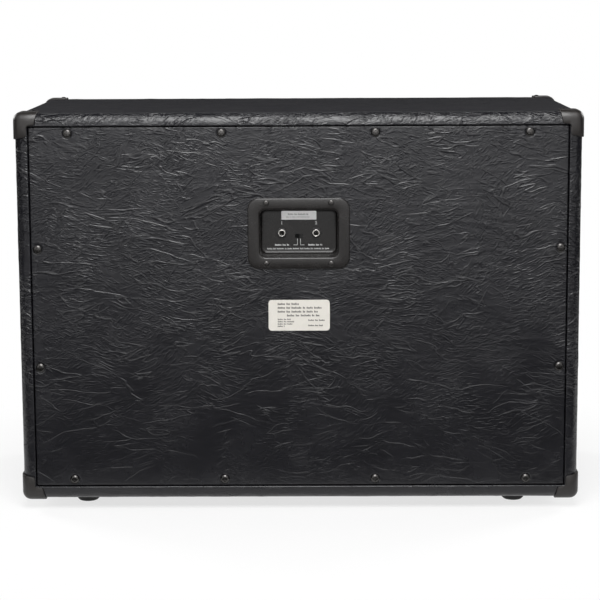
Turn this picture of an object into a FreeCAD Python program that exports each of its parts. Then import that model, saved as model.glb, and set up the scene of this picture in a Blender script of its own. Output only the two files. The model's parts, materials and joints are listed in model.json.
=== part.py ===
import FreeCAD, Part
import math
import operator
import os
from types import SimpleNamespace

import Sketcher
from FreeCAD import Placement, Rotation, Vector

# A closed-back guitar speaker cabinet with two twelve-inch drivers.
# Millimetres. +Z is up, the grille faces -Y and the rear panel +Y. The origin is on the floor,
# midway between the four feet.

SIZES = {
    # The shell, measured over its covering: 700 wide with its two drivers side by side
    "driver_gap": 16.0,
    "driver_side_margin": 17.4,
    "cab_depth": 300.0,
    "shell_height": 488.0,
    "panel_thickness": 15.0,
    "covering_thickness": 0.6,
    "edge_radius": 8.0,
    "cut_overrun": 2.0,
    "screw_clearance": 0.2,
    # Feet
    "foot_height": 14.0,
    "foot_top_radius": 16.0,
    "foot_bottom_radius": 14.0,
    "foot_bevel": 2.0,
    "foot_well_depth": 9.0,
    "foot_side_inset": 76.0,
    "foot_inset": 50.0,
    "foot_washer_radius": 6.5,
    "foot_washer_clearance": 1.0,
    "foot_washer_thickness": 1.2,
    "foot_screw_head_radius": 4.2,
    "foot_screw_head_height": 2.8,
    "foot_screw_radius": 2.0,
    "foot_screw_bite": 12.0,
    # Battens that carry the baffle and the rear panel
    "cleat_width": 20.0,
    "cleat_depth": 20.0,
    # Rear panel
    "rear_panel_thickness": 12.0,
    "rear_panel_gap": 1.2,
    "rear_panel_recess": 2.0,
    "rear_screw_inset": 8.0,
    "rear_screw_end_inset": 48.0,
    "rear_screw_side_pitch": 150.0,
    "rear_screw_head_radius": 5.5,
    "rear_screw_head_rim": 0.9,
    "rear_screw_head_height": 2.6,
    "rear_screw_radius": 2.1,
    "rear_screw_bite": 14.0,
    # Corner protectors
    "corner_proud": 2.2,
    "corner_leg_length": 30.0,
    "corner_leg_width": 15.0,
    "corner_leaf_depth": 26.0,
    "corner_end_radius": 5.0,
    "corner_seam": 0.3,
    "corner_screw_along": 23.0,
    "corner_screw_in": 18.0,
    "corner_screw_head_radius": 3.2,
    "corner_screw_head_height": 1.6,
    "corner_screw_radius": 1.6,
    "corner_screw_bite": 10.0,
    # Recessed dish for the sockets
    "dish_opening_width": 101.0,
    "dish_opening_height": 63.0,
    "dish_opening_radius": 9.0,
    "dish_rim": 13.0,
    "dish_corner_radius": 14.0,
    "dish_flange": 2.5,
    "dish_depth": 28.0,
    "dish_wall": 2.5,
    "dish_clearance": 1.0,
    "dish_drop": 150.0,
    "dish_screw_across": 80.6,
    "dish_screw_head_radius": 3.8,
    "dish_screw_head_height": 1.6,
    "dish_screw_radius": 1.7,
    "dish_screw_bite": 9.0,
    # Sockets
    "jack_gap": 1.5,
    "jack_drop": 2.5,
    "jack_bore_radius": 3.2,
    "jack_bore_depth": 34.0,
    "jack_bush_wall": 1.5,
    "jack_bush_stand": 4.5,
    "jack_body_width": 18.0,
    "jack_body_height": 20.0,
    "jack_end_wall": 3.0,
    "jack_nut_wall": 2.3,
    "jack_nut_height": 3.0,
    "jack_bush_clearance": 0.1,
    "jack_tag_length": 6.0,
    "jack_tag_width": 4.0,
    "jack_tag_thickness": 0.8,
    "jack_tag_spacing": 12.0,
    # Mode switch between the sockets
    "switch_drop": 6.5,
    "switch_slider_width": 5.0,
    "switch_slider_height": 4.4,
    "switch_slider_stand": 1.6,
    "switch_travel": 4.0,
    "switch_clearance": 0.4,
    "switch_slot_depth": 3.0,
    "switch_body_width": 22.0,
    "switch_body_height": 11.0,
    "switch_body_depth": 9.0,
    # Labels
    "rating_label_width": 76.5,
    "rating_label_height": 39.0,
    "rating_label_radius": 4.0,
    "rating_label_gap": 39.0,
    "label_thickness": 0.3,
    "dish_label_width": 44.0,
    "dish_label_height": 11.0,
    "dish_label_radius": 1.0,
    "dish_label_margin": 3.5,
    # Recessed side handles
    "handle_opening_width": 140.0,
    "handle_opening_height": 82.0,
    "handle_opening_radius": 12.0,
    "handle_rim": 15.0,
    "handle_corner_radius": 16.0,
    "handle_flange": 2.4,
    "handle_depth": 52.0,
    "handle_wall": 2.5,
    "handle_clearance": 1.0,
    "handle_drop": 190.0,
    "grip_radius": 9.5,
    "grip_sink": 13.0,
    "grip_rise": 22.0,
    "handle_screw_head_radius": 4.0,
    "handle_screw_head_height": 2.0,
    "handle_screw_radius": 2.0,
    "handle_screw_bite": 10.0,
    # Baffle, grille and trim
    "baffle_thickness": 18.0,
    "baffle_gap": 0.5,
    "grille_recess": 8.0,
    "grille_gap": 1.0,
    "grille_frame_thickness": 9.0,
    "grille_frame_border": 28.0,
    "grille_corner_radius": 10.0,
    "cloth_thickness": 0.7,
    "piping_radius": 2.5,
    "piping_clearance": 0.1,
    "piping_corner_radius": 8.0,
    "pad_thickness": 3.0,
    "pad_length": 50.0,
    "pad_width": 20.0,
    "pad_end_inset": 75.0,
    # Drivers
    "cone_radius": 118.0,
    "cone_thickness": 0.7,
    "cone_seam": 0.3,
    "cone_neck_rise": 5.0,
    "edge_width": 14.0,
    "edge_thickness": 0.8,
    "edge_fold": 1.6,
    "basket_landing_width": 9.0,
    "basket_flange_width": 13.5,
    "basket_sheet": 1.8,
    "basket_step": 4.0,
    "basket_ledge_radius": 60.0,
    "basket_ledge_width": 8.0,
    "basket_ledge_depth": 62.0,
    "basket_cup_depth": 14.0,
    "basket_base_margin": 12.4,
    "basket_window_margin": 8.0,
    "driver_cutout_clearance": 0.5,
    "gasket_thickness": 1.5,
    "gasket_inset": 0.5,
    "front_plate_radius": 66.0,
    "front_plate_thickness": 7.0,
    "magnet_radius": 78.0,
    "magnet_bore": 42.0,
    "magnet_thickness": 20.0,
    "back_plate_radius": 70.0,
    "back_plate_thickness": 8.0,
    "pole_vent_radius": 6.0,
    "pole_gap": 0.8,
    "coil_radius": 21.4,
    "coil_gap": 1.1,
    "coil_former_thickness": 0.3,
    "coil_winding_thickness": 0.8,
    "coil_winding_height": 10.0,
    "coil_tail": 2.0,
    "dust_cap_radius": 36.0,
    "dust_cap_rise": 11.0,
    "dust_cap_thickness": 0.5,
    "spider_thickness": 0.6,
    "spider_fold": 1.6,
    "driver_bolt_radius": 2.5,
    "driver_bolt_head_radius": 4.8,
    "driver_bolt_head_height": 3.4,
    "tee_nut_flange_radius": 9.0,
    "tee_nut_flange_thickness": 1.2,
    "tee_nut_barrel_radius": 3.6,
    "tee_nut_barrel_length": 12.0,
    "terminal_width": 14.0,
    "terminal_depth": 7.0,
    "terminal_height": 12.0,
    # Inner leads
    "lead_radius": 2.4,
}

FINGERS = 9
WINDOWS = 8
NUT_SIDES = 6
SAME_PLACE = 1e-6
PAIR_SHARES = (-0.5, 0.5)
REAR_ROW_SHARES = (-1, -1 / 3, 1 / 3, 1)
HEAD_RIM_SHARE = 1 / 3
DISH_DRAFT_DEGREES = 6.0
WINDOW_HALF_ANGLE = math.radians(14.0)
EDGE_FOLD_SHARES = (0.0, 0.25, 0.5, 0.75, 1.0)
SPIDER_FOLD_SHARES = (0.0, 0.16, 0.33, 0.5, 0.67, 0.84, 1.0)
LEAD_ROUTE_SHARES = (
    (0.0, 0.0), (0.18, 0.02), (0.38, 0.2), (0.5, 0.55), (0.66, 0.9), (0.83, 1.02), (1.0, 1.0),
)
LEAD_BEND_SHARE = 0.45
CROSS_LENGTH_SHARE = 1.0
CROSS_WIDTH_SHARE = 0.25
CROSS_DEPTH_SHARE = 0.55

UP = Rotation(Vector(1, 0, 0), Vector(0, 1, 0), Vector(0, 0, 1), "ZXY")
DOWN = Rotation(Vector(1, 0, 0), Vector(0, -1, 0), Vector(0, 0, -1), "ZXY")
REARWARD = Rotation(Vector(-1, 0, 0), Vector(0, 0, 1), Vector(0, 1, 0), "ZXY")
FORWARD = Rotation(Vector(1, 0, 0), Vector(0, 0, 1), Vector(0, -1, 0), "ZXY")
RIGHTWARD = Rotation(Vector(0, 1, 0), Vector(0, 0, 1), Vector(1, 0, 0), "ZXY")
LEFTWARD = Rotation(Vector(0, -1, 0), Vector(0, 0, 1), Vector(-1, 0, 0), "ZXY")
AXES = {"x": Vector(1, 0, 0), "y": Vector(0, 1, 0), "z": Vector(0, 0, 1)}
SIDES = (("left", -1, LEFTWARD), ("right", 1, RIGHTWARD))


class Size:
    """A length worked out from the sheet: the expression that gives it, and its value now."""

    def __init__(self, text, value):
        self.text = text
        self.value = value

    def __add__(self, other):
        return joined(self, "+", other)

    def __radd__(self, other):
        return joined(other, "+", self)

    def __sub__(self, other):
        return joined(self, "-", other)

    def __rsub__(self, other):
        return joined(other, "-", self)

    def __mul__(self, other):
        return joined(self, "*", other)

    def __rmul__(self, other):
        return joined(other, "*", self)

    def __truediv__(self, other):
        return joined(self, "/", other)

    def __neg__(self):
        return joined(0, "-", self)


SUMS = {"+": operator.add, "-": operator.sub, "*": operator.mul, "/": operator.truediv}


def as_size(number):
    """Take a plain number, such as a count or a share, as a size."""
    if isinstance(number, Size):
        return number
    return Size("%.9g" % number, float(number))


def joined(first, sign, second):
    """Add, take away, multiply or divide two sizes, in words and in value."""
    first = as_size(first)
    second = as_size(second)
    text = "(%s %s %s)" % (first.text, sign, second.text)
    return Size(text, SUMS[sign](first.value, second.value))


def make_sheet():
    """Write the driving sizes into the sheet, one alias each, and return them by name."""
    sheet = doc.addObject("Spreadsheet::Sheet", "sizes")
    for row, (name, value) in enumerate(SIZES.items(), 1):
        sheet.set("A%d" % row, name)
        sheet.set("B%d" % row, str(value))
        sheet.setAlias("B%d" % row, name)
    doc.recompute()
    return SimpleNamespace(**{name: Size("sizes." + name, value) for name, value in SIZES.items()})


doc = FreeCAD.newDocument("speaker_cabinet")
size = make_sheet()
sub_parts = []


# Building helpers: each ties an object's sizes to the sheet

def bind(item, path, length):
    item.setExpression(path, as_size(length).text)


def place(item, spot=(0, 0, 0), turn=UP):
    """Put an item at a spot, with its own +Z turned to the way it faces."""
    item.Placement = Placement(Vector(), turn)
    for letter, length in zip("xyz", spot):
        bind(item, "Placement.Base." + letter, length)
    return item


def sub_part(item, name):
    """Name a finished piece and keep it for the hand-in."""
    item.Label = name
    sub_parts.append(item)
    return item


def box(label, low, high):
    item = doc.addObject("Part::Box", label)
    place(item, low)
    for side, start, end in zip(("Length", "Width", "Height"), low, high):
        bind(item, side, end - start)
    return item


def gathered(label, pieces):
    item = doc.addObject("Part::Compound", label)
    item.Links = pieces
    return item


def cut(label, base, *tools):
    item = doc.addObject("Part::Cut", label)
    item.Base = base
    item.Tool = tools[0] if len(tools) == 1 else gathered(label + "_tools", list(tools))
    return item


def fused(label, *pieces):
    item = doc.addObject("Part::MultiFuse", label)
    item.Shapes = list(pieces)
    return item


def common(label, base, tool):
    item = doc.addObject("Part::Common", label)
    item.Base = base
    item.Tool = tool
    return item


def mirrored(label, piece, axis, plane=0):
    item = doc.addObject("Part::Mirroring", label)
    item.Source = piece
    item.Normal = AXES[axis]
    bind(item, "Base." + axis, plane)
    return item


def copies(label, master, spots):
    """A group of separate solids: one copy of the master at each spot, facing its own way."""
    links = []
    for number, (spot, turn) in enumerate(spots, 1):
        link = doc.addObject("App::Link", "%s_%d" % (label, number))
        link.LinkedObject = master
        links.append(place(link, spot, turn))
    return gathered(label, links)


def arc_between(start, end, radius):
    """The arc that turns left from start to end round its centre."""
    middle = (start + end) * 0.5
    along = end - start
    rise = math.sqrt(max(radius * radius - along.Length * along.Length / 4, 0))
    across = Vector(-along.y, along.x, 0).normalize()
    centre = middle + across * rise
    first = math.atan2(start.y - centre.y, start.x - centre.x)
    last = math.atan2(end.y - centre.y, end.x - centre.x)
    return Part.ArcOfCircle(Part.Circle(centre, Vector(0, 0, 1), radius), first, last)


def drawn(body, role, points, arcs=None, right_arcs=None, lift=0):
    """A closed sketch through the points. The arcs give the radius of each edge that turns left or right."""
    arcs = arcs or {}
    right_arcs = right_arcs or {}
    plane = [item for item in body.Origin.OriginFeatures if item.Role == role][0]
    sketch = body.newObject("Sketcher::SketchObject", body.Name + "_outline")
    sketch.AttachmentSupport = [(plane, "")]
    sketch.MapMode = "FlatFace"
    bind(sketch, "AttachmentOffset.Base.z", lift)
    corners = [Vector(as_size(x).value, as_size(y).value, 0) for x, y in points]
    count = len(corners)
    for edge in range(count):
        start = corners[edge]
        end = corners[(edge + 1) % count]
        if edge in arcs:
            sketch.addGeometry(arc_between(start, end, as_size(arcs[edge]).value), False)
        elif edge in right_arcs:
            sketch.addGeometry(arc_between(end, start, as_size(right_arcs[edge]).value), False)
        else:
            sketch.addGeometry(Part.LineSegment(start, end), False)
    first_end = [2 if edge in right_arcs else 1 for edge in range(count)]
    for edge in range(count):
        following = (edge + 1) % count
        rule = Sketcher.Constraint("Coincident", edge, 3 - first_end[edge], following, first_end[following])
        sketch.addConstraint(rule)
    for edge, (x, y) in enumerate(points):
        for kind, length in (("DistanceX", x), ("DistanceY", y)):
            rule = Sketcher.Constraint(kind, -1, 1, edge, first_end[edge], as_size(length).value)
            bind(sketch, "Constraints[%d]" % sketch.addConstraint(rule), length)
    for edge, radius in {**arcs, **right_arcs}.items():
        rule = Sketcher.Constraint("Radius", edge, as_size(radius).value)
        bind(sketch, "Constraints[%d]" % sketch.addConstraint(rule), radius)
    return sketch


def rounded_outline(width, height, radius):
    """A rectangle with round corners about the origin: its points, and its arcs by edge."""
    x = width / 2
    y = height / 2
    points = [
        (radius - x, -y), (x - radius, -y), (x, radius - y), (x, y - radius),
        (x - radius, y), (radius - x, y), (-x, y - radius), (-x, radius - y),
    ]
    return points, {1: radius, 3: radius, 5: radius, 7: radius}


def outline_box(low, high):
    return [(low[0], low[1]), (high[0], low[1]), (high[0], high[1]), (low[0], high[1])]


def new_body(label, spot=(0, 0, 0), turn=UP):
    return place(doc.addObject("PartDesign::Body", label), spot, turn)


def padded(body, name, sketch, length, down=False, draft=0.0):
    """Pad a sketch along the body's own Z. A draft in degrees draws the far end in."""
    pad = body.newObject("PartDesign::Pad", name)
    pad.Profile = sketch
    pad.Reversed = down
    pad.TaperAngle = -draft
    bind(pad, "Length", length)
    return pad


def pocketed(body, name, sketch, length, draft=0.0):
    """Cut a sketch down along the body's own -Z."""
    pocket = body.newObject("PartDesign::Pocket", name)
    pocket.Profile = sketch
    pocket.TaperAngle = -draft
    bind(pocket, "Length", length)
    return pocket


def plate(label, outline, thickness, spot=(0, 0, 0), turn=UP):
    """A flat piece: its outline on the spot, its thickness the way it faces."""
    points, arcs = outline
    body = new_body(label, spot, turn)
    padded(body, label + "_pad", drawn(body, "XY_Plane", points, arcs), thickness)
    return body


def turned(label, points, spot=(0, 0, 0), turn=UP, arcs=None, right_arcs=None):
    """A piece made on a lathe: radius and height points, turned about the way it faces."""
    body = new_body(label, spot, turn)
    sketch = drawn(body, "XZ_Plane", points, arcs, right_arcs)
    revolution = body.newObject("PartDesign::Revolution", label + "_turn")
    revolution.Profile = sketch
    revolution.ReferenceAxis = (sketch, ["V_Axis"])
    revolution.Angle = 360
    body.Tip = revolution
    return body


def ring(label, inner, outer, low, high, spot=(0, 0, 0), turn=UP):
    return turned(label, outline_box((inner, low), (outer, high)), spot, turn)


def drill(label, radius, depth):
    """A cutter for a hole: from an overrun outside its spot to a depth inside."""
    return turned(label, outline_box((0, -depth), (radius, size.cut_overrun)))


def soft_block(label, low, high, radius):
    """A block with all its edges rounded."""
    body = new_body(label, low)
    width, depth, height = [end - start for start, end in zip(low, high)]
    sketch = drawn(body, "XY_Plane", outline_box((0, 0), (width, depth)))
    pad = padded(body, label + "_pad", sketch, height)
    doc.recompute()
    fillet = body.newObject("PartDesign::Fillet", label + "_round")
    fillet.Base = (pad, ["Edge%d" % number for number in range(1, len(pad.Shape.Edges) + 1)])
    bind(fillet, "Radius", radius)
    return body


def cross_screw(label, head_radius, head_height, rim, shank_radius, reach):
    """A domed screw with a cross recess. Its spot is under the head, and its shank goes inward."""
    chord = head_radius
    rise = head_height - rim
    dome_radius = (chord * chord + rise * rise) / (rise * 2)
    points = [
        (0, -reach), (shank_radius, shank_radius - reach), (shank_radius, 0), (head_radius, 0),
        (head_radius, rim), (0, head_height),
    ]
    blank = turned(label + "_blank", points, arcs={4: dome_radius})
    arms = []
    length = head_radius * CROSS_LENGTH_SHARE
    width = head_radius * CROSS_WIDTH_SHARE
    for name, long_x, long_y in (("across", length, width), ("upright", width, length)):
        low = (-long_x / 2, -long_y / 2, head_height * (1 - CROSS_DEPTH_SHARE))
        high = (long_x / 2, long_y / 2, head_height + size.cut_overrun)
        arms.append(box("%s_%s" % (label, name), low, high))
    return cut(label, blank, fused(label + "_recess", *arms))


# Levels that the pieces share

landing_radius = size.cone_radius + size.edge_width
step_radius = landing_radius + size.basket_landing_width
flange_radius = step_radius + size.basket_flange_width
driver_x = flange_radius + size.driver_gap / 2
inner_x = driver_x + flange_radius + size.driver_side_margin
wood_x = inner_x + size.panel_thickness
side_x = wood_x + size.covering_thickness
rear_y = size.cab_depth / 2
front_y = -rear_y
wood_y = rear_y - size.covering_thickness
low_z = size.foot_height
high_z = low_z + size.shell_height
middle_z = (low_z + high_z) / 2
wood_low = low_z + size.covering_thickness
wood_high = high_z - size.covering_thickness
inner_low = wood_low + size.panel_thickness
inner_high = wood_high - size.panel_thickness
over = size.cut_overrun

rear_cover_y = rear_y - size.rear_panel_recess
rear_wood_y = rear_cover_y - size.covering_thickness
rear_seat_y = rear_wood_y - size.rear_panel_thickness
cloth_y = front_y + size.grille_recess
frame_y = cloth_y + size.cloth_thickness
pad_y = frame_y + size.grille_frame_thickness
baffle_y = pad_y + size.pad_thickness
driver_y = baffle_y + size.baffle_thickness

wood_block = soft_block("wood_block", (-wood_x, -wood_y, wood_low), (wood_x, wood_y, wood_high),
                        size.edge_radius)


# Places of the fasteners, each with the way that it faces

corner_face_x = side_x + size.corner_proud
corner_screw_spots = []
for x_side, side_turn in ((-1, LEFTWARD), (1, RIGHTWARD)):
    for y_side in (-1, 1):
        for level, face, z_side, face_turn in ((low_z, low_z - size.corner_proud, -1, DOWN),
                                               (high_z, high_z + size.corner_proud, 1, UP)):
            screw_y = (rear_y - size.corner_screw_in) * y_side
            top_x = (side_x - size.corner_screw_along) * x_side
            side_z = level - size.corner_screw_along * z_side
            corner_screw_spots.append(((top_x, screw_y, face), face_turn))
            corner_screw_spots.append(((corner_face_x * x_side, screw_y, side_z), side_turn))

foot_spots = []
for x_side in (-1, 1):
    for y_side in (-1, 1):
        spot = ((side_x - size.foot_side_inset) * x_side, (rear_y - size.foot_inset) * y_side, 0)
        foot_spots.append((spot, UP))

panel_edge_x = inner_x - size.rear_panel_gap
panel_low = inner_low + size.rear_panel_gap
panel_high = inner_high - size.rear_panel_gap
rear_screw_spots = []
for z in (panel_low + size.rear_screw_inset, panel_high - size.rear_screw_inset):
    for row_share in REAR_ROW_SHARES:
        row_x = (panel_edge_x - size.rear_screw_end_inset) * row_share
        rear_screw_spots.append(((row_x, rear_cover_y, z), REARWARD))
for x_side in (-1, 1):
    for pair_share in PAIR_SHARES:
        screw_x = (panel_edge_x - size.rear_screw_inset) * x_side
        screw_z = middle_z + size.rear_screw_side_pitch * pair_share
        rear_screw_spots.append(((screw_x, rear_cover_y, screw_z), REARWARD))

dish_z = high_z - size.dish_drop
dish_face_y = rear_cover_y + size.dish_flange
dish_floor_y = dish_face_y - size.dish_depth
dish_back_y = dish_floor_y - size.dish_wall
dish_screw_spots = []
for x_side in (-1, 1):
    for z_side in (-1, 1):
        screw_z = dish_z + (size.dish_opening_height + size.dish_rim) / 2 * z_side
        dish_screw_spots.append(((size.dish_screw_across / 2 * x_side, dish_face_y, screw_z), REARWARD))

handle_y = (driver_y + rear_seat_y) / 2
handle_z = high_z - size.handle_drop
handle_face_x = side_x + size.handle_flange
handle_screw_spots = []
for x_side, side_turn in ((-1, LEFTWARD), (1, RIGHTWARD)):
    for y_side in (-1, 1):
        for z_side in (-1, 1):
            screw_y = handle_y + (size.handle_opening_width + size.handle_rim) / 2 * y_side
            screw_z = handle_z + (size.handle_opening_height + size.handle_rim) / 2 * z_side
            handle_screw_spots.append(((handle_face_x * x_side, screw_y, screw_z), side_turn))

cutout_radius = step_radius + size.driver_cutout_clearance
bolt_share = math.sqrt(0.5)
bolt_reach = (cutout_radius + flange_radius) / 2 * bolt_share
driver_spots = [((driver_x * x_side, driver_y, middle_z), REARWARD) for x_side in (-1, 1)]
bolt_places = []
for x_side in (-1, 1):
    for across in (-1, 1):
        for up in (-1, 1):
            bolt_places.append((driver_x * x_side + bolt_reach * across, middle_z + bolt_reach * up))


def holes(label, radius, depth, spots):
    """Clearance holes for a group of screws, down the length of their shanks."""
    cutter = drill(label + "_drill", radius + size.screw_clearance, depth + size.screw_clearance)
    return copies(label, cutter, spots)


corner_bite = size.corner_proud + size.covering_thickness + size.corner_screw_bite
corner_holes = holes("corner_holes", size.corner_screw_radius, corner_bite, corner_screw_spots)
handle_bite = size.handle_flange + size.covering_thickness + size.handle_screw_bite
handle_holes = holes("handle_holes", size.handle_screw_radius, handle_bite, handle_screw_spots)
rear_bite = size.covering_thickness + size.rear_panel_thickness + size.rear_screw_bite
rear_holes = holes("rear_holes", size.rear_screw_radius, rear_bite, rear_screw_spots)
dish_bite = size.dish_flange + size.covering_thickness + size.dish_screw_bite
dish_holes = holes("dish_holes", size.dish_screw_radius, dish_bite, dish_screw_spots)
foot_hole = turned("foot_hole", outline_box(
    (0, -over), (size.foot_screw_radius + size.screw_clearance,
                 low_z + size.covering_thickness + size.foot_screw_bite + size.screw_clearance)))
foot_holes = copies("foot_holes", foot_hole, foot_spots)


# Shell of four finger-jointed boards, rounded on every outer edge

def finger_notches(label, first, x_span, z_span):
    """Boxes for every other finger along the depth, starting at the first."""
    pitch = wood_y * 2 / FINGERS
    notches = []
    for number in range(first, FINGERS, 2):
        start = pitch * number - wood_y - (over if number == 0 else 0)
        end = pitch * (number + 1) - wood_y + (over if number == FINGERS - 1 else 0)
        low = (x_span[0], start, z_span[0])
        high = (x_span[1], end, z_span[1])
        notches.append(box("%s_%d" % (label, number), low, high))
    return notches


def shell_board(name, low, high, notches, bores):
    board = cut(name + "_board", box(name + "_blank", low, high), *notches)
    rounded = common(name + "_rounded", board, wood_block)
    return sub_part(cut(name, rounded, *bores), name)


def make_shell():
    left_end = (-wood_x - over, -inner_x)
    right_end = (inner_x, wood_x + over)
    for name, low, high in (("top_panel", inner_high, wood_high), ("bottom_panel", wood_low, inner_low)):
        span = (low - over, high + over)
        notches = finger_notches(name + "_left_notch", 1, left_end, span)
        notches += finger_notches(name + "_right_notch", 1, right_end, span)
        bores = [corner_holes] if name == "top_panel" else [corner_holes, foot_holes]
        shell_board(name, (-wood_x, -wood_y, low), (wood_x, wood_y, high), notches, bores)
    for name, x_side, turn in SIDES:
        name += "_side_panel"
        low_x, high_x = (-wood_x, -inner_x) if x_side < 0 else (inner_x, wood_x)
        span = (low_x - over, high_x + over)
        notches = finger_notches(name + "_low_notch", 0, span, (wood_low - over, inner_low))
        notches += finger_notches(name + "_high_notch", 0, span, (inner_high, wood_high + over))
        bores = [corner_holes, handle_holes, handle_cutout(name, x_side, turn)]
        shell_board(name, (low_x, -wood_y, wood_low), (high_x, wood_y, wood_high), notches, bores)


def handle_cutout(name, x_side, turn):
    """The opening in a side that a handle's well drops into, with its clearance."""
    margin = (size.handle_wall + size.handle_clearance) * 2
    outline = rounded_outline(size.handle_opening_width + margin, size.handle_opening_height + margin,
                              size.handle_opening_radius + margin / 2)
    spot = ((inner_x - over) * x_side, handle_y, handle_z)
    return plate(name + "_handle_cutout", outline, side_x + over - (inner_x - over), spot, turn)


def frame_battens(name, near_y, far_y):
    """Four battens round the inside of the shell, upright ones between the level ones."""
    level_high = inner_low + size.cleat_width
    level_low = inner_high - size.cleat_width
    upright_x = inner_x - size.cleat_width
    spans = (
        ("low", (-inner_x, near_y, inner_low), (inner_x, far_y, level_high)),
        ("high", (-inner_x, near_y, level_low), (inner_x, far_y, inner_high)),
        ("left", (-inner_x, near_y, level_high), (-upright_x, far_y, level_low)),
        ("right", (upright_x, near_y, level_high), (inner_x, far_y, level_low)),
    )
    return gathered(name, [box("%s_%s" % (name, side), low, high) for side, low, high in spans])


def make_battens():
    """The front battens are hollowed where the drivers' flanges pass them."""
    front = frame_battens("front_cleat_blanks", driver_y, driver_y + size.cleat_depth)
    relief = ring("flange_relief", 0, flange_radius + size.screw_clearance, -over, size.cleat_depth + over)
    reliefs = copies("flange_reliefs", relief, driver_spots)
    sub_part(cut("front_cleats", front, reliefs), "front_cleats")
    rear = frame_battens("rear_cleat_blanks", rear_seat_y - size.cleat_depth, rear_seat_y)
    sub_part(cut("rear_cleats", rear, rear_holes), "rear_cleats")


# Corner protectors: an L on the front or rear face, with a leaf on the top or bottom and on the side

def corner_block(label, grow):
    """One protector's solid outline at the right rear top, a seam larger where it is cut out."""
    proud = size.corner_proud
    outer = soft_block(label + "_skin", (-side_x - proud, -rear_y - proud, low_z - proud),
                       (side_x + proud, rear_y + proud, high_z + proud),
                       size.edge_radius + size.covering_thickness + proud)
    far = (side_x + proud + over, rear_y + proud + over, high_z + proud + over)
    leaf_y = rear_y - size.corner_leaf_depth - grow
    level = corner_leg(label + "_level", "x", leaf_y, far, grow)
    upright = corner_leg(label + "_upright", "z", leaf_y, far, grow)
    return common(label, fused(label + "_legs", level, upright), outer)


def corner_leg(label, along, leaf_y, far, grow):
    """A leg that runs along one edge, with its free end rounded on both faces."""
    long_x = size.corner_leg_length if along == "x" else size.corner_leg_width
    long_z = size.corner_leg_length if along == "z" else size.corner_leg_width
    low = (side_x - long_x - grow, leaf_y, high_z - long_z - grow)
    body = new_body(label, low)
    width, depth, height = [end - start for start, end in zip(low, far)]
    pad = padded(body, label + "_pad", drawn(body, "XY_Plane", outline_box((0, 0), (width, depth))), height)
    doc.recompute()
    free_end = low[0].value if along == "x" else low[2].value
    names = []
    for number, edge in enumerate(pad.Shape.Edges, 1):
        centre = edge.BoundBox.Center + Vector(low[0].value, low[1].value, low[2].value)
        place_along = centre.x if along == "x" else centre.z
        side_along = centre.z if along == "x" else centre.x
        side_low = low[2].value if along == "x" else low[0].value
        at_end = abs(place_along - free_end) < SAME_PLACE
        at_leaf = abs(centre.y - low[1].value) < SAME_PLACE
        at_side = abs(side_along - side_low) < SAME_PLACE
        if at_end and (at_leaf or at_side):
            names.append("Edge%d" % number)
    fillet = body.newObject("PartDesign::Fillet", label + "_round")
    fillet.Base = (pad, names)
    bind(fillet, "Radius", size.corner_end_radius)
    return body


def four_corners(label, piece):
    """The piece at the right rear top, with its copies to the left and below."""
    across = mirrored(label + "_across", piece, "x")
    pair = gathered(label + "_pair", [piece, across])
    below = mirrored(label + "_below", pair, "z", middle_z)
    return gathered(label, [pair, below])


def make_corners():
    one = cut("corner_protector", corner_block("corner_block", 0), wood_block)
    rear = four_corners("rear_corner_blanks", one)
    front = mirrored("front_corner_blanks", rear, "y")
    sub_part(cut("rear_corner_protectors", rear, corner_holes), "rear_corner_protectors")
    sub_part(cut("front_corner_protectors", front, corner_holes), "front_corner_protectors")
    screw = cross_screw("corner_screw", size.corner_screw_head_radius, size.corner_screw_head_height,
                        size.corner_screw_head_height * HEAD_RIM_SHARE, size.corner_screw_radius, corner_bite)
    sub_part(copies("corner_screws", screw, corner_screw_spots), "corner_screws")


# Covering: one skin over the shell, cut out for the corners, the handles and the feet's screws

def make_covering():
    outer = soft_block("covering_block", (-side_x, -rear_y, low_z), (side_x, rear_y, high_z),
                       size.edge_radius + size.covering_thickness)
    skin = cut("covering_skin", outer, wood_block)
    mouth = box("covering_mouth", (-inner_x, front_y - over, inner_low), (inner_x, rear_y + over, inner_high))
    notch = four_corners("rear_corner_notches", corner_block("corner_notch", size.corner_seam))
    front_notch = mirrored("front_corner_notches", notch, "y")
    open_skin = cut("covering_open", skin, mouth)
    notched = cut("covering_notched", cut("covering_rear_notched", open_skin, notch), front_notch)
    bores = [foot_holes, handle_holes]
    for name, x_side, turn in SIDES:
        bores.append(handle_cutout(name + "_covering", x_side, turn))
    sub_part(cut("shell_covering", notched, *bores), "shell_covering")


def make_feet():
    """Turned rubber feet with a washer and a screw in each well."""
    bore = size.foot_screw_radius + size.screw_clearance
    well = size.foot_washer_radius + size.foot_washer_clearance
    points = [
        (bore, size.foot_well_depth), (well, size.foot_well_depth), (well, 0),
        (size.foot_bottom_radius - size.foot_bevel, 0), (size.foot_bottom_radius, size.foot_bevel),
        (size.foot_top_radius, size.foot_height), (bore, size.foot_height),
    ]
    sub_part(copies("rubber_feet", turned("rubber_foot", points), foot_spots), "rubber_feet")
    washer_low = size.foot_well_depth - size.foot_washer_thickness
    washer = ring("foot_washer", bore, size.foot_washer_radius, washer_low, size.foot_well_depth)
    sub_part(copies("foot_washers", washer, foot_spots), "foot_washers")
    reach = low_z + size.covering_thickness + size.foot_screw_bite - washer_low
    screw = cross_screw("foot_screw", size.foot_screw_head_radius, size.foot_screw_head_height,
                        size.foot_screw_head_height * HEAD_RIM_SHARE, size.foot_screw_radius, reach)
    spots = [((spot[0], spot[1], washer_low), DOWN) for spot, turn in foot_spots]
    sub_part(copies("foot_screws", screw, spots), "foot_screws")


# Rear panel, its covering, its screws and its label

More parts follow.
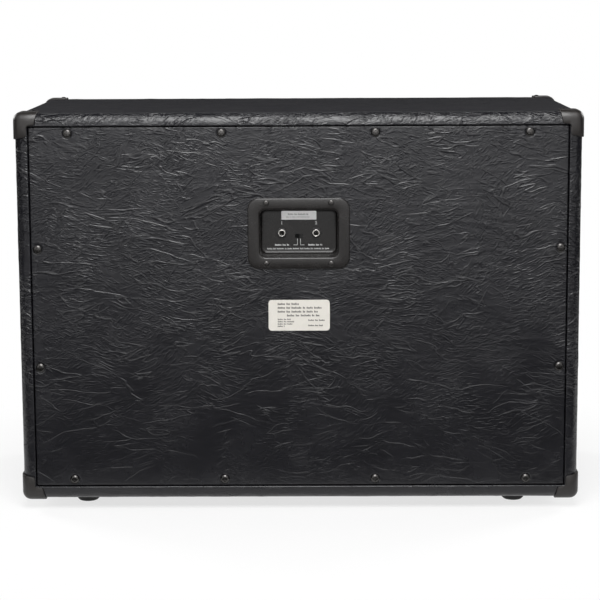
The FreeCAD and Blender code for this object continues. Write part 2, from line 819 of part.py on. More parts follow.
def make_rear_panel():
    cover = size.covering_thickness
    board = box("rear_board", (cover - panel_edge_x, rear_seat_y, panel_low + cover),
                (panel_edge_x - cover, rear_wood_y, panel_high - cover))
    wrap = box("rear_wrap", (-panel_edge_x, rear_seat_y, panel_low), (panel_edge_x, rear_cover_y, panel_high))
    margin = (size.dish_wall + size.dish_clearance) * 2
    outline = rounded_outline(size.dish_opening_width + margin, size.dish_opening_height + margin,
                              size.dish_opening_radius + margin / 2)
    through = rear_cover_y - rear_seat_y + over * 2
    opening = plate("dish_cutout", outline, through, (0, rear_seat_y - over, dish_z), REARWARD)
    bores = (opening, rear_holes, dish_holes)
    sub_part(cut("rear_panel", board, *bores), "rear_panel")
    sub_part(cut("rear_panel_covering", cut("rear_tray", wrap, board), *bores), "rear_panel_covering")
    screw = cross_screw("rear_panel_screw", size.rear_screw_head_radius, size.rear_screw_head_height,
                        size.rear_screw_head_rim, size.rear_screw_radius, rear_bite)
    sub_part(copies("rear_panel_screws", screw, rear_screw_spots), "rear_panel_screws")
    outline = rounded_outline(size.rating_label_width, size.rating_label_height, size.rating_label_radius)
    dish_foot = dish_z - size.dish_opening_height / 2 - size.dish_rim
    spot = (0, rear_cover_y, dish_foot - size.rating_label_gap - size.rating_label_height / 2)
    sub_part(plate("rating_label", outline, size.label_thickness, spot, REARWARD), "rating_label")


# Recessed dishes: a flange with a drawn-in well behind it

def dish_body(label, opening, rim, corner_radius, flange, depth, wall, draft, spot, turn):
    """A dish whose spot is under its flange, with its well going inward."""
    body = new_body(label, spot, turn)
    width, height, radius = opening
    points, arcs = rounded_outline(width + rim * 2, height + rim * 2, corner_radius)
    padded(body, label + "_flange", drawn(body, "XY_Plane", points, arcs), flange)
    points, arcs = rounded_outline(width + wall * 2, height + wall * 2, radius + wall)
    well = drawn(body, "XY_Plane", points, arcs)
    padded(body, label + "_well", well, depth + wall - flange, down=True, draft=draft)
    points, arcs = rounded_outline(width, height, radius)
    hollow = drawn(body, "XY_Plane", points, arcs, lift=flange)
    pocketed(body, label + "_hollow", hollow, depth, draft)
    return body


bush_radius = size.jack_bore_radius + size.jack_bush_wall
jack_x = (size.switch_body_width + size.jack_body_width) / 2 + size.jack_gap
jack_places = [(jack_x * x_side, dish_z - size.jack_drop) for x_side in (-1, 1)]
switch_z = dish_z - size.switch_drop
switch_half = (size.switch_slider_width + size.switch_travel) / 2 + size.switch_clearance
switch_tall = size.switch_slider_height / 2 + size.switch_clearance
bush_hole = bush_radius + size.screw_clearance
floor_half = size.dish_opening_height / 2 - size.dish_depth * math.tan(math.radians(DISH_DRAFT_DEGREES))


def make_dish():
    opening = (size.dish_opening_width, size.dish_opening_height, size.dish_opening_radius)
    body = dish_body("jack_dish_blank", opening, size.dish_rim, size.dish_corner_radius, size.dish_flange,
                     size.dish_depth, size.dish_wall, DISH_DRAFT_DEGREES, (0, rear_cover_y, dish_z), REARWARD)
    cutter = ring("bush_drill", 0, bush_hole, -size.dish_wall - over, over)
    bush_holes = copies("bush_holes", cutter, [((x, dish_floor_y, z), REARWARD) for x, z in jack_places])
    window = box("switch_window", (-switch_half, dish_back_y - over, switch_z - switch_tall),
                 (switch_half, dish_floor_y + over, switch_z + switch_tall))
    sub_part(cut("jack_dish", body, bush_holes, window, dish_holes), "jack_dish")
    screw = cross_screw("jack_dish_screw", size.dish_screw_head_radius, size.dish_screw_head_height,
                        size.dish_screw_head_height * HEAD_RIM_SHARE, size.dish_screw_radius, dish_bite)
    sub_part(copies("jack_dish_screws", screw, dish_screw_spots), "jack_dish_screws")
    outline = rounded_outline(size.dish_label_width, size.dish_label_height, size.dish_label_radius)
    label_z = dish_z + floor_half - size.dish_label_margin - size.dish_label_height / 2
    spot = (0, dish_floor_y, label_z)
    sub_part(plate("dish_label", outline, size.label_thickness, spot, REARWARD), "dish_label")


# Sockets: a metal bush through the dish floor, in a closed case behind it

jack_mouth = size.jack_bush_stand
jack_foot = jack_mouth - size.jack_bore_depth
jack_back_y = dish_floor_y + jack_foot - size.jack_end_wall


def make_sockets():
    spots = [((x, dish_floor_y, z), REARWARD) for x, z in jack_places]
    bush = ring("jack_bush", size.jack_bore_radius, bush_radius, jack_foot, jack_mouth)
    sub_part(copies("jack_bushes", bush, spots), "jack_bushes")
    nest = ring("jack_nest", 0, bush_radius + size.jack_bush_clearance, jack_foot, jack_mouth)
    nests = copies("jack_nests", nest, spots)
    cases = []
    tags = []
    for x, z in jack_places:
        half_x = size.jack_body_width / 2
        half_z = size.jack_body_height / 2
        low = (x - half_x, jack_back_y, z - half_z)
        high = (x + half_x, dish_back_y, z + half_z)
        cases.append(box("jack_case_%d" % len(cases), low, high))
        for pair_share in PAIR_SHARES:
            tag_x = x + size.jack_tag_spacing * pair_share
            half = size.jack_tag_thickness / 2
            low = (tag_x - half, jack_back_y - size.jack_tag_length, z - size.jack_tag_width / 2)
            high = (tag_x + half, jack_back_y, z + size.jack_tag_width / 2)
            tags.append(box("jack_tag_%d" % len(tags), low, high))
    sub_part(cut("jack_cases", gathered("jack_case_blanks", cases), nests), "jack_cases")
    sub_part(copies("jack_nuts", nut_body(), spots), "jack_nuts")
    sub_part(gathered("jack_terminals", tags), "jack_terminals")


def nut_body():
    """A six-sided nut that lies on the dish floor round a bush."""
    angles = [math.tau * corner / NUT_SIDES for corner in range(NUT_SIDES)]
    corner_shares = [(math.cos(angle), math.sin(angle)) for angle in angles]
    nut_radius = bush_radius + size.jack_nut_wall
    points = [(nut_radius * x_share, nut_radius * y_share) for x_share, y_share in corner_shares]
    blank = plate("jack_nut_blank", (points, {}), size.jack_nut_height)
    bore = bush_radius + size.jack_bush_clearance
    hole = ring("jack_nut_hole", 0, bore, -over, size.jack_nut_height + over)
    return cut("jack_nut", blank, hole)


def make_switch():
    """A slide switch behind the dish floor. Its slider rests at the +X end of its travel."""
    half_x = size.switch_body_width / 2
    half_z = size.switch_body_height / 2
    low = (-half_x, dish_back_y - size.switch_body_depth, switch_z - half_z)
    high = (half_x, dish_back_y, switch_z + half_z)
    slot_y = dish_back_y - size.switch_slot_depth
    slot = box("switch_slot", (-switch_half, slot_y, switch_z - switch_tall),
               (switch_half, dish_back_y + over, switch_z + switch_tall))
    sub_part(cut("mode_switch_body", box("switch_case", low, high), slot), "mode_switch_body")
    end_x = switch_half - size.switch_clearance
    knob_z = size.switch_slider_height / 2
    slider = box("mode_switch_slider", (end_x - size.switch_slider_width, slot_y, switch_z - knob_z),
                 (end_x, dish_floor_y + size.switch_slider_stand, switch_z + knob_z))
    sub_part(slider, "mode_switch_slider")


# Side handles

def make_handles():
    opening = (size.handle_opening_width, size.handle_opening_height, size.handle_opening_radius)
    for name, x_side, turn in SIDES:
        spot = (side_x * x_side, handle_y, handle_z)
        body = dish_body(name + "_handle_blank", opening, size.handle_rim, size.handle_corner_radius,
                         size.handle_flange, size.handle_depth, size.handle_wall, 0.0, spot, turn)
        sub_part(cut(name + "_handle_dish", body, handle_holes), name + "_handle_dish")
        grip = doc.addObject("Part::Cylinder", name + "_handle_grip")
        bind(grip, "Radius", size.grip_radius)
        bind(grip, "Height", size.handle_opening_width)
        end = handle_y + size.handle_opening_width / 2
        place(grip, ((handle_face_x - size.grip_sink) * x_side, end, handle_z + size.grip_rise), FORWARD)
        sub_part(grip, name + "_handle_grip")
    screw = cross_screw("handle_screw", size.handle_screw_head_radius, size.handle_screw_head_height,
                        size.handle_screw_head_height * HEAD_RIM_SHARE, size.handle_screw_radius, handle_bite)
    sub_part(copies("handle_screws", screw, handle_screw_spots), "handle_screws")


# Front: baffle, grille on its frame, and the piping round it

def make_front():
    gap = size.baffle_gap
    board = box("baffle_board", (gap - inner_x, baffle_y, inner_low + gap),
                (inner_x - gap, driver_y, inner_high - gap))
    depth = size.baffle_thickness + over * 2
    hole = ring("driver_hole", 0, cutout_radius, 0, depth)
    hole_spots = [((driver_x * x_side, baffle_y - over, middle_z), REARWARD) for x_side in (-1, 1)]
    driver_holes = copies("driver_holes", hole, hole_spots)
    bolt_hole = ring("baffle_bolt_hole", 0, size.tee_nut_barrel_radius + size.screw_clearance, 0, depth)
    bolt_spots = [((x, baffle_y - over, z), REARWARD) for x, z in bolt_places]
    bolt_holes = copies("baffle_bolt_holes", bolt_hole, bolt_spots)
    sub_part(cut("front_baffle", board, driver_holes, bolt_holes), "front_baffle")

    edge_x = inner_x - size.grille_gap
    edge_low = inner_low + size.grille_gap
    edge_high = inner_high - size.grille_gap
    cloth = size.cloth_thickness
    block = box("grille_block", (cloth - edge_x, frame_y, edge_low + cloth),
                (edge_x - cloth, pad_y, edge_high - cloth))
    border = size.grille_frame_border * 2
    inside = rounded_outline(edge_x * 2 - border, edge_high - edge_low - border, size.grille_corner_radius)
    through = size.grille_frame_thickness + over * 2
    window = plate("grille_window", inside, through, (0, frame_y - over, middle_z), REARWARD)
    sub_part(cut("grille_frame", block, window), "grille_frame")
    wrap = box("grille_wrap", (-edge_x, cloth_y, edge_low), (edge_x, pad_y, edge_high))
    sub_part(cut("grille_cloth", wrap, block), "grille_cloth")

    pads = []
    pad_row = middle_z - edge_low - size.grille_frame_border / 2
    for x_side in (-1, 0, 1):
        for z_side in (-1, 1):
            x = (edge_x - size.pad_end_inset) * x_side
            z = middle_z + pad_row * z_side
            low = (x - size.pad_length / 2, pad_y, z - size.pad_width / 2)
            high = (x + size.pad_length / 2, baffle_y, z + size.pad_width / 2)
            pads.append(box("grille_pad_%d" % len(pads), low, high))
    sub_part(gathered("grille_fastener_pads", pads), "grille_fastener_pads")
    sub_part(piping(), "grille_piping")


def piping():
    """A round bead that runs once round the mouth, on the grille cloth and along the shell."""
    inset = size.piping_radius + size.piping_clearance
    body = new_body("grille_piping", (0, cloth_y - inset, middle_z), REARWARD)
    run_x = (inner_x - inset) * 2
    run_z = inner_high - inner_low - inset * 2
    points, arcs = rounded_outline(run_x, run_z, size.piping_corner_radius)
    path = drawn(body, "XY_Plane", points, arcs)
    profile = body.newObject("Sketcher::SketchObject", "piping_section")
    plane = [item for item in body.Origin.OriginFeatures if item.Role == "YZ_Plane"][0]
    profile.AttachmentSupport = [(plane, "")]
    profile.MapMode = "FlatFace"
    centre = -run_z / 2
    section = Part.Circle(Vector(centre.value, 0, 0), Vector(0, 0, 1), size.piping_radius.value)
    profile.addGeometry(section, False)
    for rule, length in (
        (Sketcher.Constraint("Radius", 0, size.piping_radius.value), size.piping_radius),
        (Sketcher.Constraint("DistanceX", -1, 1, 0, 3, centre.value), centre),
        (Sketcher.Constraint("DistanceY", -1, 1, 0, 3, 0), 0),
    ):
        bind(profile, "Constraints[%d]" % profile.addConstraint(rule), length)
    sweep = body.newObject("PartDesign::AdditivePipe", "piping_sweep")
    sweep.Profile = profile
    sweep.Spine = (path, ["Edge%d" % edge for edge in range(1, len(points) + 1)])
    return body


# Drivers: depths are measured rearward from the back of the baffle

gasket = size.gasket_thickness
sheet_metal = size.basket_sheet
landing = gasket + size.basket_step
ledge = size.basket_ledge_depth
ledge_outer = size.basket_ledge_radius + size.basket_ledge_width
base_depth = ledge + size.basket_cup_depth
motor_depth = base_depth + sheet_metal
magnet_depth = motor_depth + size.front_plate_thickness
back_depth = magnet_depth + size.magnet_thickness
former_radius = size.coil_radius + size.coil_former_thickness
winding_radius = former_radius + size.coil_winding_thickness
plate_bore = winding_radius + size.coil_gap
pole_radius = size.coil_radius - size.pole_gap
base_radius = plate_bore + size.basket_base_margin
neck_depth = ledge - size.cone_neck_rise
cone_rim_depth = landing - size.edge_thickness


def folded_ring(inner, outer, level, thickness, fold, shares):
    """A pleated ring's front and back points, folded towards the front between its flat rims."""
    front = []
    back = []
    for number, share in enumerate(shares):
        radius = inner + (outer - inner) * share
        lift = fold if number % 2 else 0
        front.append((radius, level - thickness - lift))
        back.append((radius, level - lift))
    return front, back


def make_driver(name, x_side):
    spot = (driver_x * x_side, driver_y, middle_z)
    make_basket(name, spot)
    motor = (
        ("front_plate", plate_bore, size.front_plate_radius, motor_depth, magnet_depth),
        ("magnet", size.magnet_bore, size.magnet_radius, magnet_depth, back_depth),
    )
    for piece, inner, outer, low, high in motor:
        piece = "%s_%s" % (name, piece)
        sub_part(ring(piece, inner, outer, low, high, spot, REARWARD), piece)
    vent = size.pole_vent_radius
    end = back_depth + size.back_plate_thickness
    points = [
        (vent, motor_depth), (pole_radius, motor_depth), (pole_radius, back_depth),
        (size.back_plate_radius, back_depth), (size.back_plate_radius, end), (vent, end),
    ]
    piece = name + "_back_plate"
    sub_part(turned(piece, points, spot, REARWARD), piece)
    make_soft_parts(name, spot)
    make_cone(name, spot)


def make_basket(name, spot):
    """A pressed frame: flange, step and landing, windowed cone, ledge and cup."""
    points = [
        (flange_radius, gasket), (flange_radius, gasket + sheet_metal),
        (step_radius + sheet_metal, gasket + sheet_metal),
        (step_radius + sheet_metal, landing + sheet_metal),
        (landing_radius + sheet_metal, landing + sheet_metal),
        (ledge_outer + sheet_metal, ledge + sheet_metal),
        (size.basket_ledge_radius + sheet_metal, ledge + sheet_metal),
        (size.basket_ledge_radius + sheet_metal, motor_depth), (base_radius, motor_depth),
        (base_radius, base_depth), (size.basket_ledge_radius, base_depth),
        (size.basket_ledge_radius, ledge), (ledge_outer, ledge),
        (landing_radius, landing), (step_radius, landing), (step_radius, gasket),
    ]
    pressed = turned(name + "_basket_pressing", points, spot, REARWARD)
    across_share = math.cos(WINDOW_HALF_ANGLE)
    rise_share = math.sin(WINDOW_HALF_ANGLE)
    near = ledge_outer + sheet_metal + size.basket_window_margin
    wide = landing_radius - size.basket_window_margin
    outline = [
        (near * across_share, near * -rise_share), (wide * across_share, wide * -rise_share),
        (wide * across_share, wide * rise_share), (near * across_share, near * rise_share),
    ]
    window = plate(name + "_basket_window", (outline, {}), ledge + sheet_metal)
    windows = []
    for number in range(WINDOWS):
        link = doc.addObject("App::Link", "%s_basket_window_%d" % (name, number))
        link.LinkedObject = window
        angle = 360 / WINDOWS * (number + 0.5)
        windows.append(place(link, spot, REARWARD * Rotation(Vector(0, 0, 1), angle)))
    bolt_hole = drill(name + "_flange_drill", size.driver_bolt_radius + size.screw_clearance,
                      sheet_metal + over)
    x = spot[0]
    depth_y = driver_y + gasket + sheet_metal
    hole_spots = []
    for across in (-1, 1):
        for up in (-1, 1):
            hole_spots.append(((x + bolt_reach * across, depth_y, middle_z + bolt_reach * up), REARWARD))
    bolt_holes = copies(name + "_flange_holes", bolt_hole, hole_spots)
    basket = cut(name + "_basket", pressed, gathered(name + "_basket_windows", windows), bolt_holes)
    sub_part(basket, name + "_basket")


def make_soft_parts(name, spot):
    """The pleated edge round the cone and the spider behind it, both fixed to the basket."""
    inner = size.cone_radius + size.cone_seam
    front, back = folded_ring(inner, landing_radius, landing, size.edge_thickness,
                              size.edge_fold, EDGE_FOLD_SHARES)
    rim = step_radius - size.screw_clearance
    points = front + [(rim, landing - size.edge_thickness), (rim, landing)] + back[::-1]
    piece = name + "_cone_edge"
    sub_part(turned(piece, points, spot, REARWARD), piece)
    inner = former_radius + size.cone_seam
    front, back = folded_ring(inner, size.basket_ledge_radius, ledge, size.spider_thickness,
                              size.spider_fold, SPIDER_FOLD_SHARES)
    rim = ledge_outer - size.screw_clearance
    points = front + [(rim, ledge - size.spider_thickness), (rim, ledge)] + back[::-1]
    piece = name + "_spider"
    sub_part(turned(piece, points, spot, REARWARD), piece)


def make_cone(name, spot):
    """The moving parts of a driver: paper cone, dust cap, and coil on its former."""
    neck = neck_depth
    thick = size.cone_thickness
    rim = cone_rim_depth
    points = [
        (former_radius, neck), (size.cone_radius, rim), (size.cone_radius, rim + thick),
        (former_radius, neck + thick),
    ]
    sub_part(turned(name + "_cone", points, spot, REARWARD), name + "_cone")
    slope_share = (neck - rim) / (size.cone_radius - former_radius)
    cap = size.dust_cap_radius
    foot = neck - (cap - former_radius) * slope_share
    rise = size.dust_cap_rise
    skin = size.dust_cap_thickness
    dome = (cap * cap + rise * rise) / (rise * 2)
    points = [(0, foot - rise - skin), (cap, foot - skin), (cap, foot), (0, foot - rise)]
    piece = name + "_dust_cap"
    sub_part(turned(piece, points, spot, REARWARD, {0: dome}, {2: dome}), piece)
    middle = motor_depth + size.front_plate_thickness / 2
    low = middle - size.coil_winding_height / 2
    high = middle + size.coil_winding_height / 2
    tail = high + size.coil_tail
    points = [
        (size.coil_radius, neck), (former_radius, neck), (former_radius, low), (winding_radius, low),
        (winding_radius, high), (former_radius, high), (former_radius, tail), (size.coil_radius, tail),
    ]
    sub_part(turned(name + "_voice_coil", points, spot, REARWARD), name + "_voice_coil")


def make_driver_fixings():
    seal = ring("speaker_gasket", cutout_radius, flange_radius - size.gasket_inset, 0, gasket)
    bolt_spots = [((x, driver_y, z), REARWARD) for x, z in bolt_places]
    bolt_hole = ring("gasket_drill", 0, size.driver_bolt_radius + size.screw_clearance, -over, gasket + over)
    seals = copies("speaker_gasket_rings", seal, driver_spots)
    holes_here = copies("gasket_holes", bolt_hole, bolt_spots)
    sub_part(cut("speaker_gaskets", seals, holes_here), "speaker_gaskets")
    head_y = driver_y + gasket + sheet_metal
    bolt = cross_screw("speaker_bolt", size.driver_bolt_head_radius, size.driver_bolt_head_height,
                       size.driver_bolt_head_height * HEAD_RIM_SHARE, size.driver_bolt_radius,
                       sheet_metal + gasket + size.baffle_thickness)
    head_spots = [((x, head_y, z), REARWARD) for x, z in bolt_places]
    sub_part(copies("speaker_bolts", bolt, head_spots), "speaker_bolts")
    bore = size.driver_bolt_radius + size.screw_clearance
    points = [
        (bore, -size.tee_nut_barrel_length), (size.tee_nut_barrel_radius, -size.tee_nut_barrel_length),
        (size.tee_nut_barrel_radius, 0), (size.tee_nut_flange_radius, 0),
        (size.tee_nut_flange_radius, size.tee_nut_flange_thickness), (bore, size.tee_nut_flange_thickness),
    ]
    nut = turned("tee_nut", points)
    sub_part(copies("tee_nuts", nut, [((x, baffle_y, z), FORWARD) for x, z in bolt_places]), "tee_nuts")


# Terminals on the baskets, and the leads from the sockets to them

terminal_middle = (landing_radius + step_radius) / 2 + sheet_metal
terminal_y = driver_y + landing + sheet_metal


def make_terminals():
    blocks = []
    for x_side in (-1, 1):
        x = (driver_x - terminal_middle) * x_side
        half_x = size.terminal_depth / 2
        half_z = size.terminal_width / 2
        blocks.append(box("terminal_%d" % len(blocks), (x - half_x, terminal_y, middle_z - half_z),
                          (x + half_x, terminal_y + size.terminal_height, middle_z + half_z)))
    sub_part(gathered("speaker_terminals", blocks), "speaker_terminals")


def bent_tube(points, radius):
    """A tube along straight runs and tangent arcs, each arc as large as its two runs allow."""
    edges = []
    start = points[0]
    for before, corner, after in zip(points, points[1:], points[2:]):
        back = before - corner
        ahead = after - corner
        half_turn = (math.pi - back.getAngle(ahead)) / 2
        reach = LEAD_BEND_SHARE * min(back.Length, ahead.Length)
        back.normalize()
        ahead.normalize()
        bend = reach / math.tan(half_turn)
        inward = (back + ahead).normalize()
        middle = corner + inward * (bend / math.cos(half_turn) - bend)
        entry = corner + back * reach
        leave = corner + ahead * reach
        edges.append(Part.LineSegment(start, entry).toShape())
        edges.append(Part.Arc(entry, middle, leave).toShape())
        print("lead bend radius %.1f" % bend)
        start = leave
    edges.append(Part.LineSegment(start, points[-1]).toShape())
    path = Part.Wire(edges)
    section = Part.Wire(Part.Circle(points[0], points[1] - points[0], radius).toShape())
    tube = path.makePipeShell([section], True, False)
    plain_volume = math.pi * radius ** 2 * path.Length
    print("lead volume over section times length %.5f" % (tube.Volume / plain_volume))
    return tube


def make_leads():
    for (name, x_side, turn), (lead_x, lead_z) in zip(SIDES, jack_places):
        start = Vector(lead_x.value, jack_back_y.value, lead_z.value)
        end_x = (driver_x - terminal_middle).value * x_side
        end = Vector(end_x, (terminal_y + size.terminal_height).value, middle_z.value)
        span = end - start
        points = []
        for run, drop in LEAD_ROUTE_SHARES:
            points.append(start + Vector(span.x * drop, span.y * run, span.z * drop))
        lead = doc.addObject("Part::Feature", name + "_speaker_lead")
        lead.Shape = bent_tube(points, size.lead_radius.value)
        lead.Placement = Placement()
        sub_part(lead, name + "_speaker_lead")


make_shell()
make_battens()
make_corners()
make_covering()
make_feet()
make_rear_panel()
make_dish()
make_sockets()
make_switch()
make_handles()
make_front()
for side_name, side_sign, side_turn in SIDES:
    make_driver(side_name, side_sign)
make_driver_fixings()
make_terminals()
make_leads()
doc.recompute()

for item in doc.Objects:
    if "Invalid" in item.State or "Error" in item.State:
        raise RuntimeError("%s could not be built" % item.Label)
for item in sub_parts:
    if item.Shape.isNull() or not item.Shape.isValid():
        raise RuntimeError("%s has no valid shape" % item.Label)

os.makedirs("parts", exist_ok=True)
for item in sub_parts:
    item.Shape.exportStep("parts/%s.step" % item.Label)
print("%d sub-parts written" % len(sub_parts))
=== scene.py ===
"""Looks of a closed-back guitar speaker cabinet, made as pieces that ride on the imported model."""

import json
import math

import bmesh
import bpy
from bpy.props import FloatProperty, FloatVectorProperty, PointerProperty
from mathutils import Matrix, Vector, noise


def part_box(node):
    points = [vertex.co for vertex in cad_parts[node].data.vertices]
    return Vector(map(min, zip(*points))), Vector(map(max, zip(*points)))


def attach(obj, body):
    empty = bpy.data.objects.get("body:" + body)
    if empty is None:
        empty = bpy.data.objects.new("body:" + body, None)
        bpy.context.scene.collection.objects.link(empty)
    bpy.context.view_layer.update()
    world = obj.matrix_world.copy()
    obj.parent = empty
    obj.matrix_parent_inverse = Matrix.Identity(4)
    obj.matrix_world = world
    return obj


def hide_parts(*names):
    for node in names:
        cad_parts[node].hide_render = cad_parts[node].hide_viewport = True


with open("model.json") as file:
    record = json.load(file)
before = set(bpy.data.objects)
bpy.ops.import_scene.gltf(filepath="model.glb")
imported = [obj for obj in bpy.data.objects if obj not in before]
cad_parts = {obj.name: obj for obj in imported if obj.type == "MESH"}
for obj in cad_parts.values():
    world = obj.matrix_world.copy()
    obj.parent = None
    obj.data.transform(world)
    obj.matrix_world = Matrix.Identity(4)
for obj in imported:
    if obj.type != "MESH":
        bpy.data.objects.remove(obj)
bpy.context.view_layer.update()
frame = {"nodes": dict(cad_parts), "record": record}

bl_info = {
    "name": "Guitar speaker cabinet",
    "version": (1, 0, 0),
    "blender": (4, 5, 0),
    "location": "View3D > Sidebar > Cabinet",
    "description": "Dresses the packed cabinet in leathercloth, moulded plastic and grille cloth",
    "category": "Object",
}

WELD = 1e-6
CORNER_STEPS = 8
FILLET_STEPS = 5
TURN_STEPS = 48
SHARP_DEGREES = 35.0
SENSOR_MM = 36.0
SHEET_MAP = "sheet"
INK_DEPTH = 0.00006
LEAST_SHELL_CORNER = 0.0008
LEAST_DISH_CORNER = 0.0015

# Which way local X, Y and Z go on a face of the cabinet, Z being outward
REARWARD = Matrix(((1, 0, 0), (0, 0, 1), (0, 1, 0))).to_4x4()
FORWARD = Matrix(((1, 0, 0), (0, 0, -1), (0, 1, 0))).to_4x4()
RIGHTWARD = Matrix(((0, 0, 1), (1, 0, 0), (0, 1, 0))).to_4x4()
LEFTWARD = Matrix(((0, 0, -1), (1, 0, 0), (0, 1, 0))).to_4x4()
READ_FROM_REAR = Matrix(((-1, 0, 0), (0, 0, 1), (0, 1, 0))).to_4x4()


# Sizes and colours that a user would change

def length(name, description, default):
    """A size in metres."""
    return FloatProperty(name=name, description=description, default=default, unit="LENGTH", precision=5)


def amount(name, description, default, unit="NONE"):
    """A number that isn't a length or an angle."""
    return FloatProperty(name=name, description=description, default=default, unit=unit)


def degrees(name, description, default):
    """An angle that is written in degrees and kept in radians."""
    return FloatProperty(name=name, description=description, default=math.radians(default), subtype="ANGLE")


def colour(name, description, default):
    """A linear colour."""
    return FloatVectorProperty(name=name, description=description, default=default, subtype="COLOR", size=3,
                               min=0.0, max=1.0)


class CabinetSizes(bpy.types.PropertyGroup):
    """Sizes of the pieces that are modelled here."""

    cloth_thickness: length("Leathercloth thickness", "Thickness of the covering", 0.0006)
    panel_step: length("Panel step", "Spacing of the points on the rear panel's covering", 0.0022)
    panel_edge: length("Panel edge", "Radius of the covering round the rear panel's edge", 0.0016)
    shell_step: length("Shell step", "Spacing of the points on the shell's covering", 0.005)
    shell_edge: length("Shell edge", "Radius of the shell's outer edges, over the covering", 0.0094)
    mouth_lip: length("Mouth lip", "Radius where the covering turns into the shell's mouth", 0.00145)
    panel_gap: length("Panel gap", "Between the rear panel and the covering in the mouth", 0.0009)
    mouth_turn_in: length("Turn-in", "How far the covering goes into the shell's mouth", 0.014)
    crease_height: length("Crease height", "Height of the leathercloth's creases", 0.00022)
    dimple_radius: length("Dimple radius", "Radius of the dimple that a rear screw pulls", 0.0074)
    dimple_depth: length("Dimple depth", "Depth of the dimple that a rear screw pulls", 0.00055)
    screw_step: length("Screw step", "Spacing of the rings on a screw's head", 0.0003)
    cap_round: length("Cap rounding", "Outer radius of a corner protector", 0.0108)
    cap_wall: length("Cap wall", "Wall of a corner protector", 0.0026)
    cap_upright: length("Cap upright leg", "Length of the leg that runs up the side", 0.0340)
    cap_level: length("Cap level leg", "Length of the leg that runs along the top or bottom", 0.0302)
    cap_width: length("Cap width", "Width of a leg on the front or rear face", 0.0172)
    cap_leaf: length("Cap leaf", "Depth of the leaves on the side and the top or bottom", 0.0282)
    cap_slant: length("Cap slant", "How much shorter a leg is at its inner edge", 0.0036)
    cap_corner: length("Cap corner", "Radius of a leg's own corners", 0.0030)
    cap_rim: length("Cap rim", "Rounding of the protector's rim", 0.0007)
    dish_rim: length("Dish rim", "Width of the socket dish's rim", 0.0146)
    dish_lip: length("Dish lip", "Rounding of the socket dish's opening", 0.0022)
    dish_floor_round: length("Dish floor rounding", "Radius between the dish's floor and wall", 0.0034)
    dish_flange_round: length("Dish flange rounding", "Rounding of the dish's outer edge", 0.0019)
    dish_wall: length("Dish wall", "Wall of the socket dish", 0.0025)
    dish_draft: degrees("Dish draft", "How far the socket dish's walls lean", 3.0)
    dish_corner: length("Dish corner", "Radius of the socket dish's outer corners", 0.014)
    dish_mouth_corner: length("Dish mouth corner", "Radius of the opening's corners in the dish", 0.009)
    dish_lap: length("Dish lap", "How far the dish laps over the hole in the covering", 0.0075)
    socket_play: length("Socket play", "Between a socket and its hole in the dish", 0.0001)
    ferrule_wall: length("Ferrule wall", "Wall of a socket's ferrule", 0.0015)
    ferrule_bore_round: length("Ferrule bore rounding", "Rounding of a ferrule's bore", 0.0005)
    ferrule_rim_round: length("Ferrule rim rounding", "Rounding of a ferrule's rim", 0.0007)
    nut_bore: length("Nut bore", "Radius of the bore in a socket's nut", 0.00475)
    nut_bevel: length("Nut bevel", "Bevel round a nut's top", 0.0005)
    switch_play: length("Switch play", "Between the switch's slider and its window", 0.0003)
    slider_ridge: length("Slider ridge", "Height of the ridges on the switch's slider", 0.0005)
    slider_wear: length("Slider wear", "Rounding of the slider's edges", 0.00015)
    number_height: length("Number height", "Size of the numbers over the sockets", 0.0056)
    number_weight: length("Number weight", "How much the numbers' strokes are thickened", 0.00012)
    handle_wall: length("Handle wall", "Wall of a handle dish", 0.0025)
    handle_corner: length("Handle corner", "Radius of a handle dish's outer corners", 0.016)
    handle_mouth_corner: length("Handle mouth corner", "Radius of the opening's corners in a handle", 0.012)
    handle_lap: length("Handle lap", "How far a handle laps over the hole in the covering", 0.009)
    handle_lip: length("Handle lip", "Rounding of a handle dish's opening", 0.0035)
    handle_floor_round: length("Handle floor rounding", "Radius from a handle's floor to its wall", 0.012)
    handle_flange_round: length("Handle flange rounding", "Rounding of a handle dish's outer edge", 0.0018)
    grip_rib_pitch: length("Grip rib pitch", "Spacing of the ribs on a handle's grip", 0.0056)
    grip_rib_height: length("Grip rib height", "Height of the ribs on a handle's grip", 0.0007)
    grip_rib_round: length("Grip rib rounding", "Rounding of a rib's shoulders", 0.0007)
    grip_collar: length("Grip collar", "Length of the flare at each end of a grip", 0.008)
    grip_collar_round: length("Grip collar rounding", "Rounding of a grip's flare", 0.001)
    cloth_step: length("Grille cloth step", "Spacing of the points on the grille cloth", 0.006)
    cloth_edge: length("Grille cloth edge", "Radius of the grille cloth round its frame", 0.0035)
    grille_thickness: length("Grille cloth thickness", "Thickness of the grille cloth", 0.0008)
    grille_wave: length("Grille wave", "Height of the waves in the stretched cloth", 0.00012)
    thread_pitch: length("Thread pitch", "Spacing of the grille cloth's threads", 0.0021)


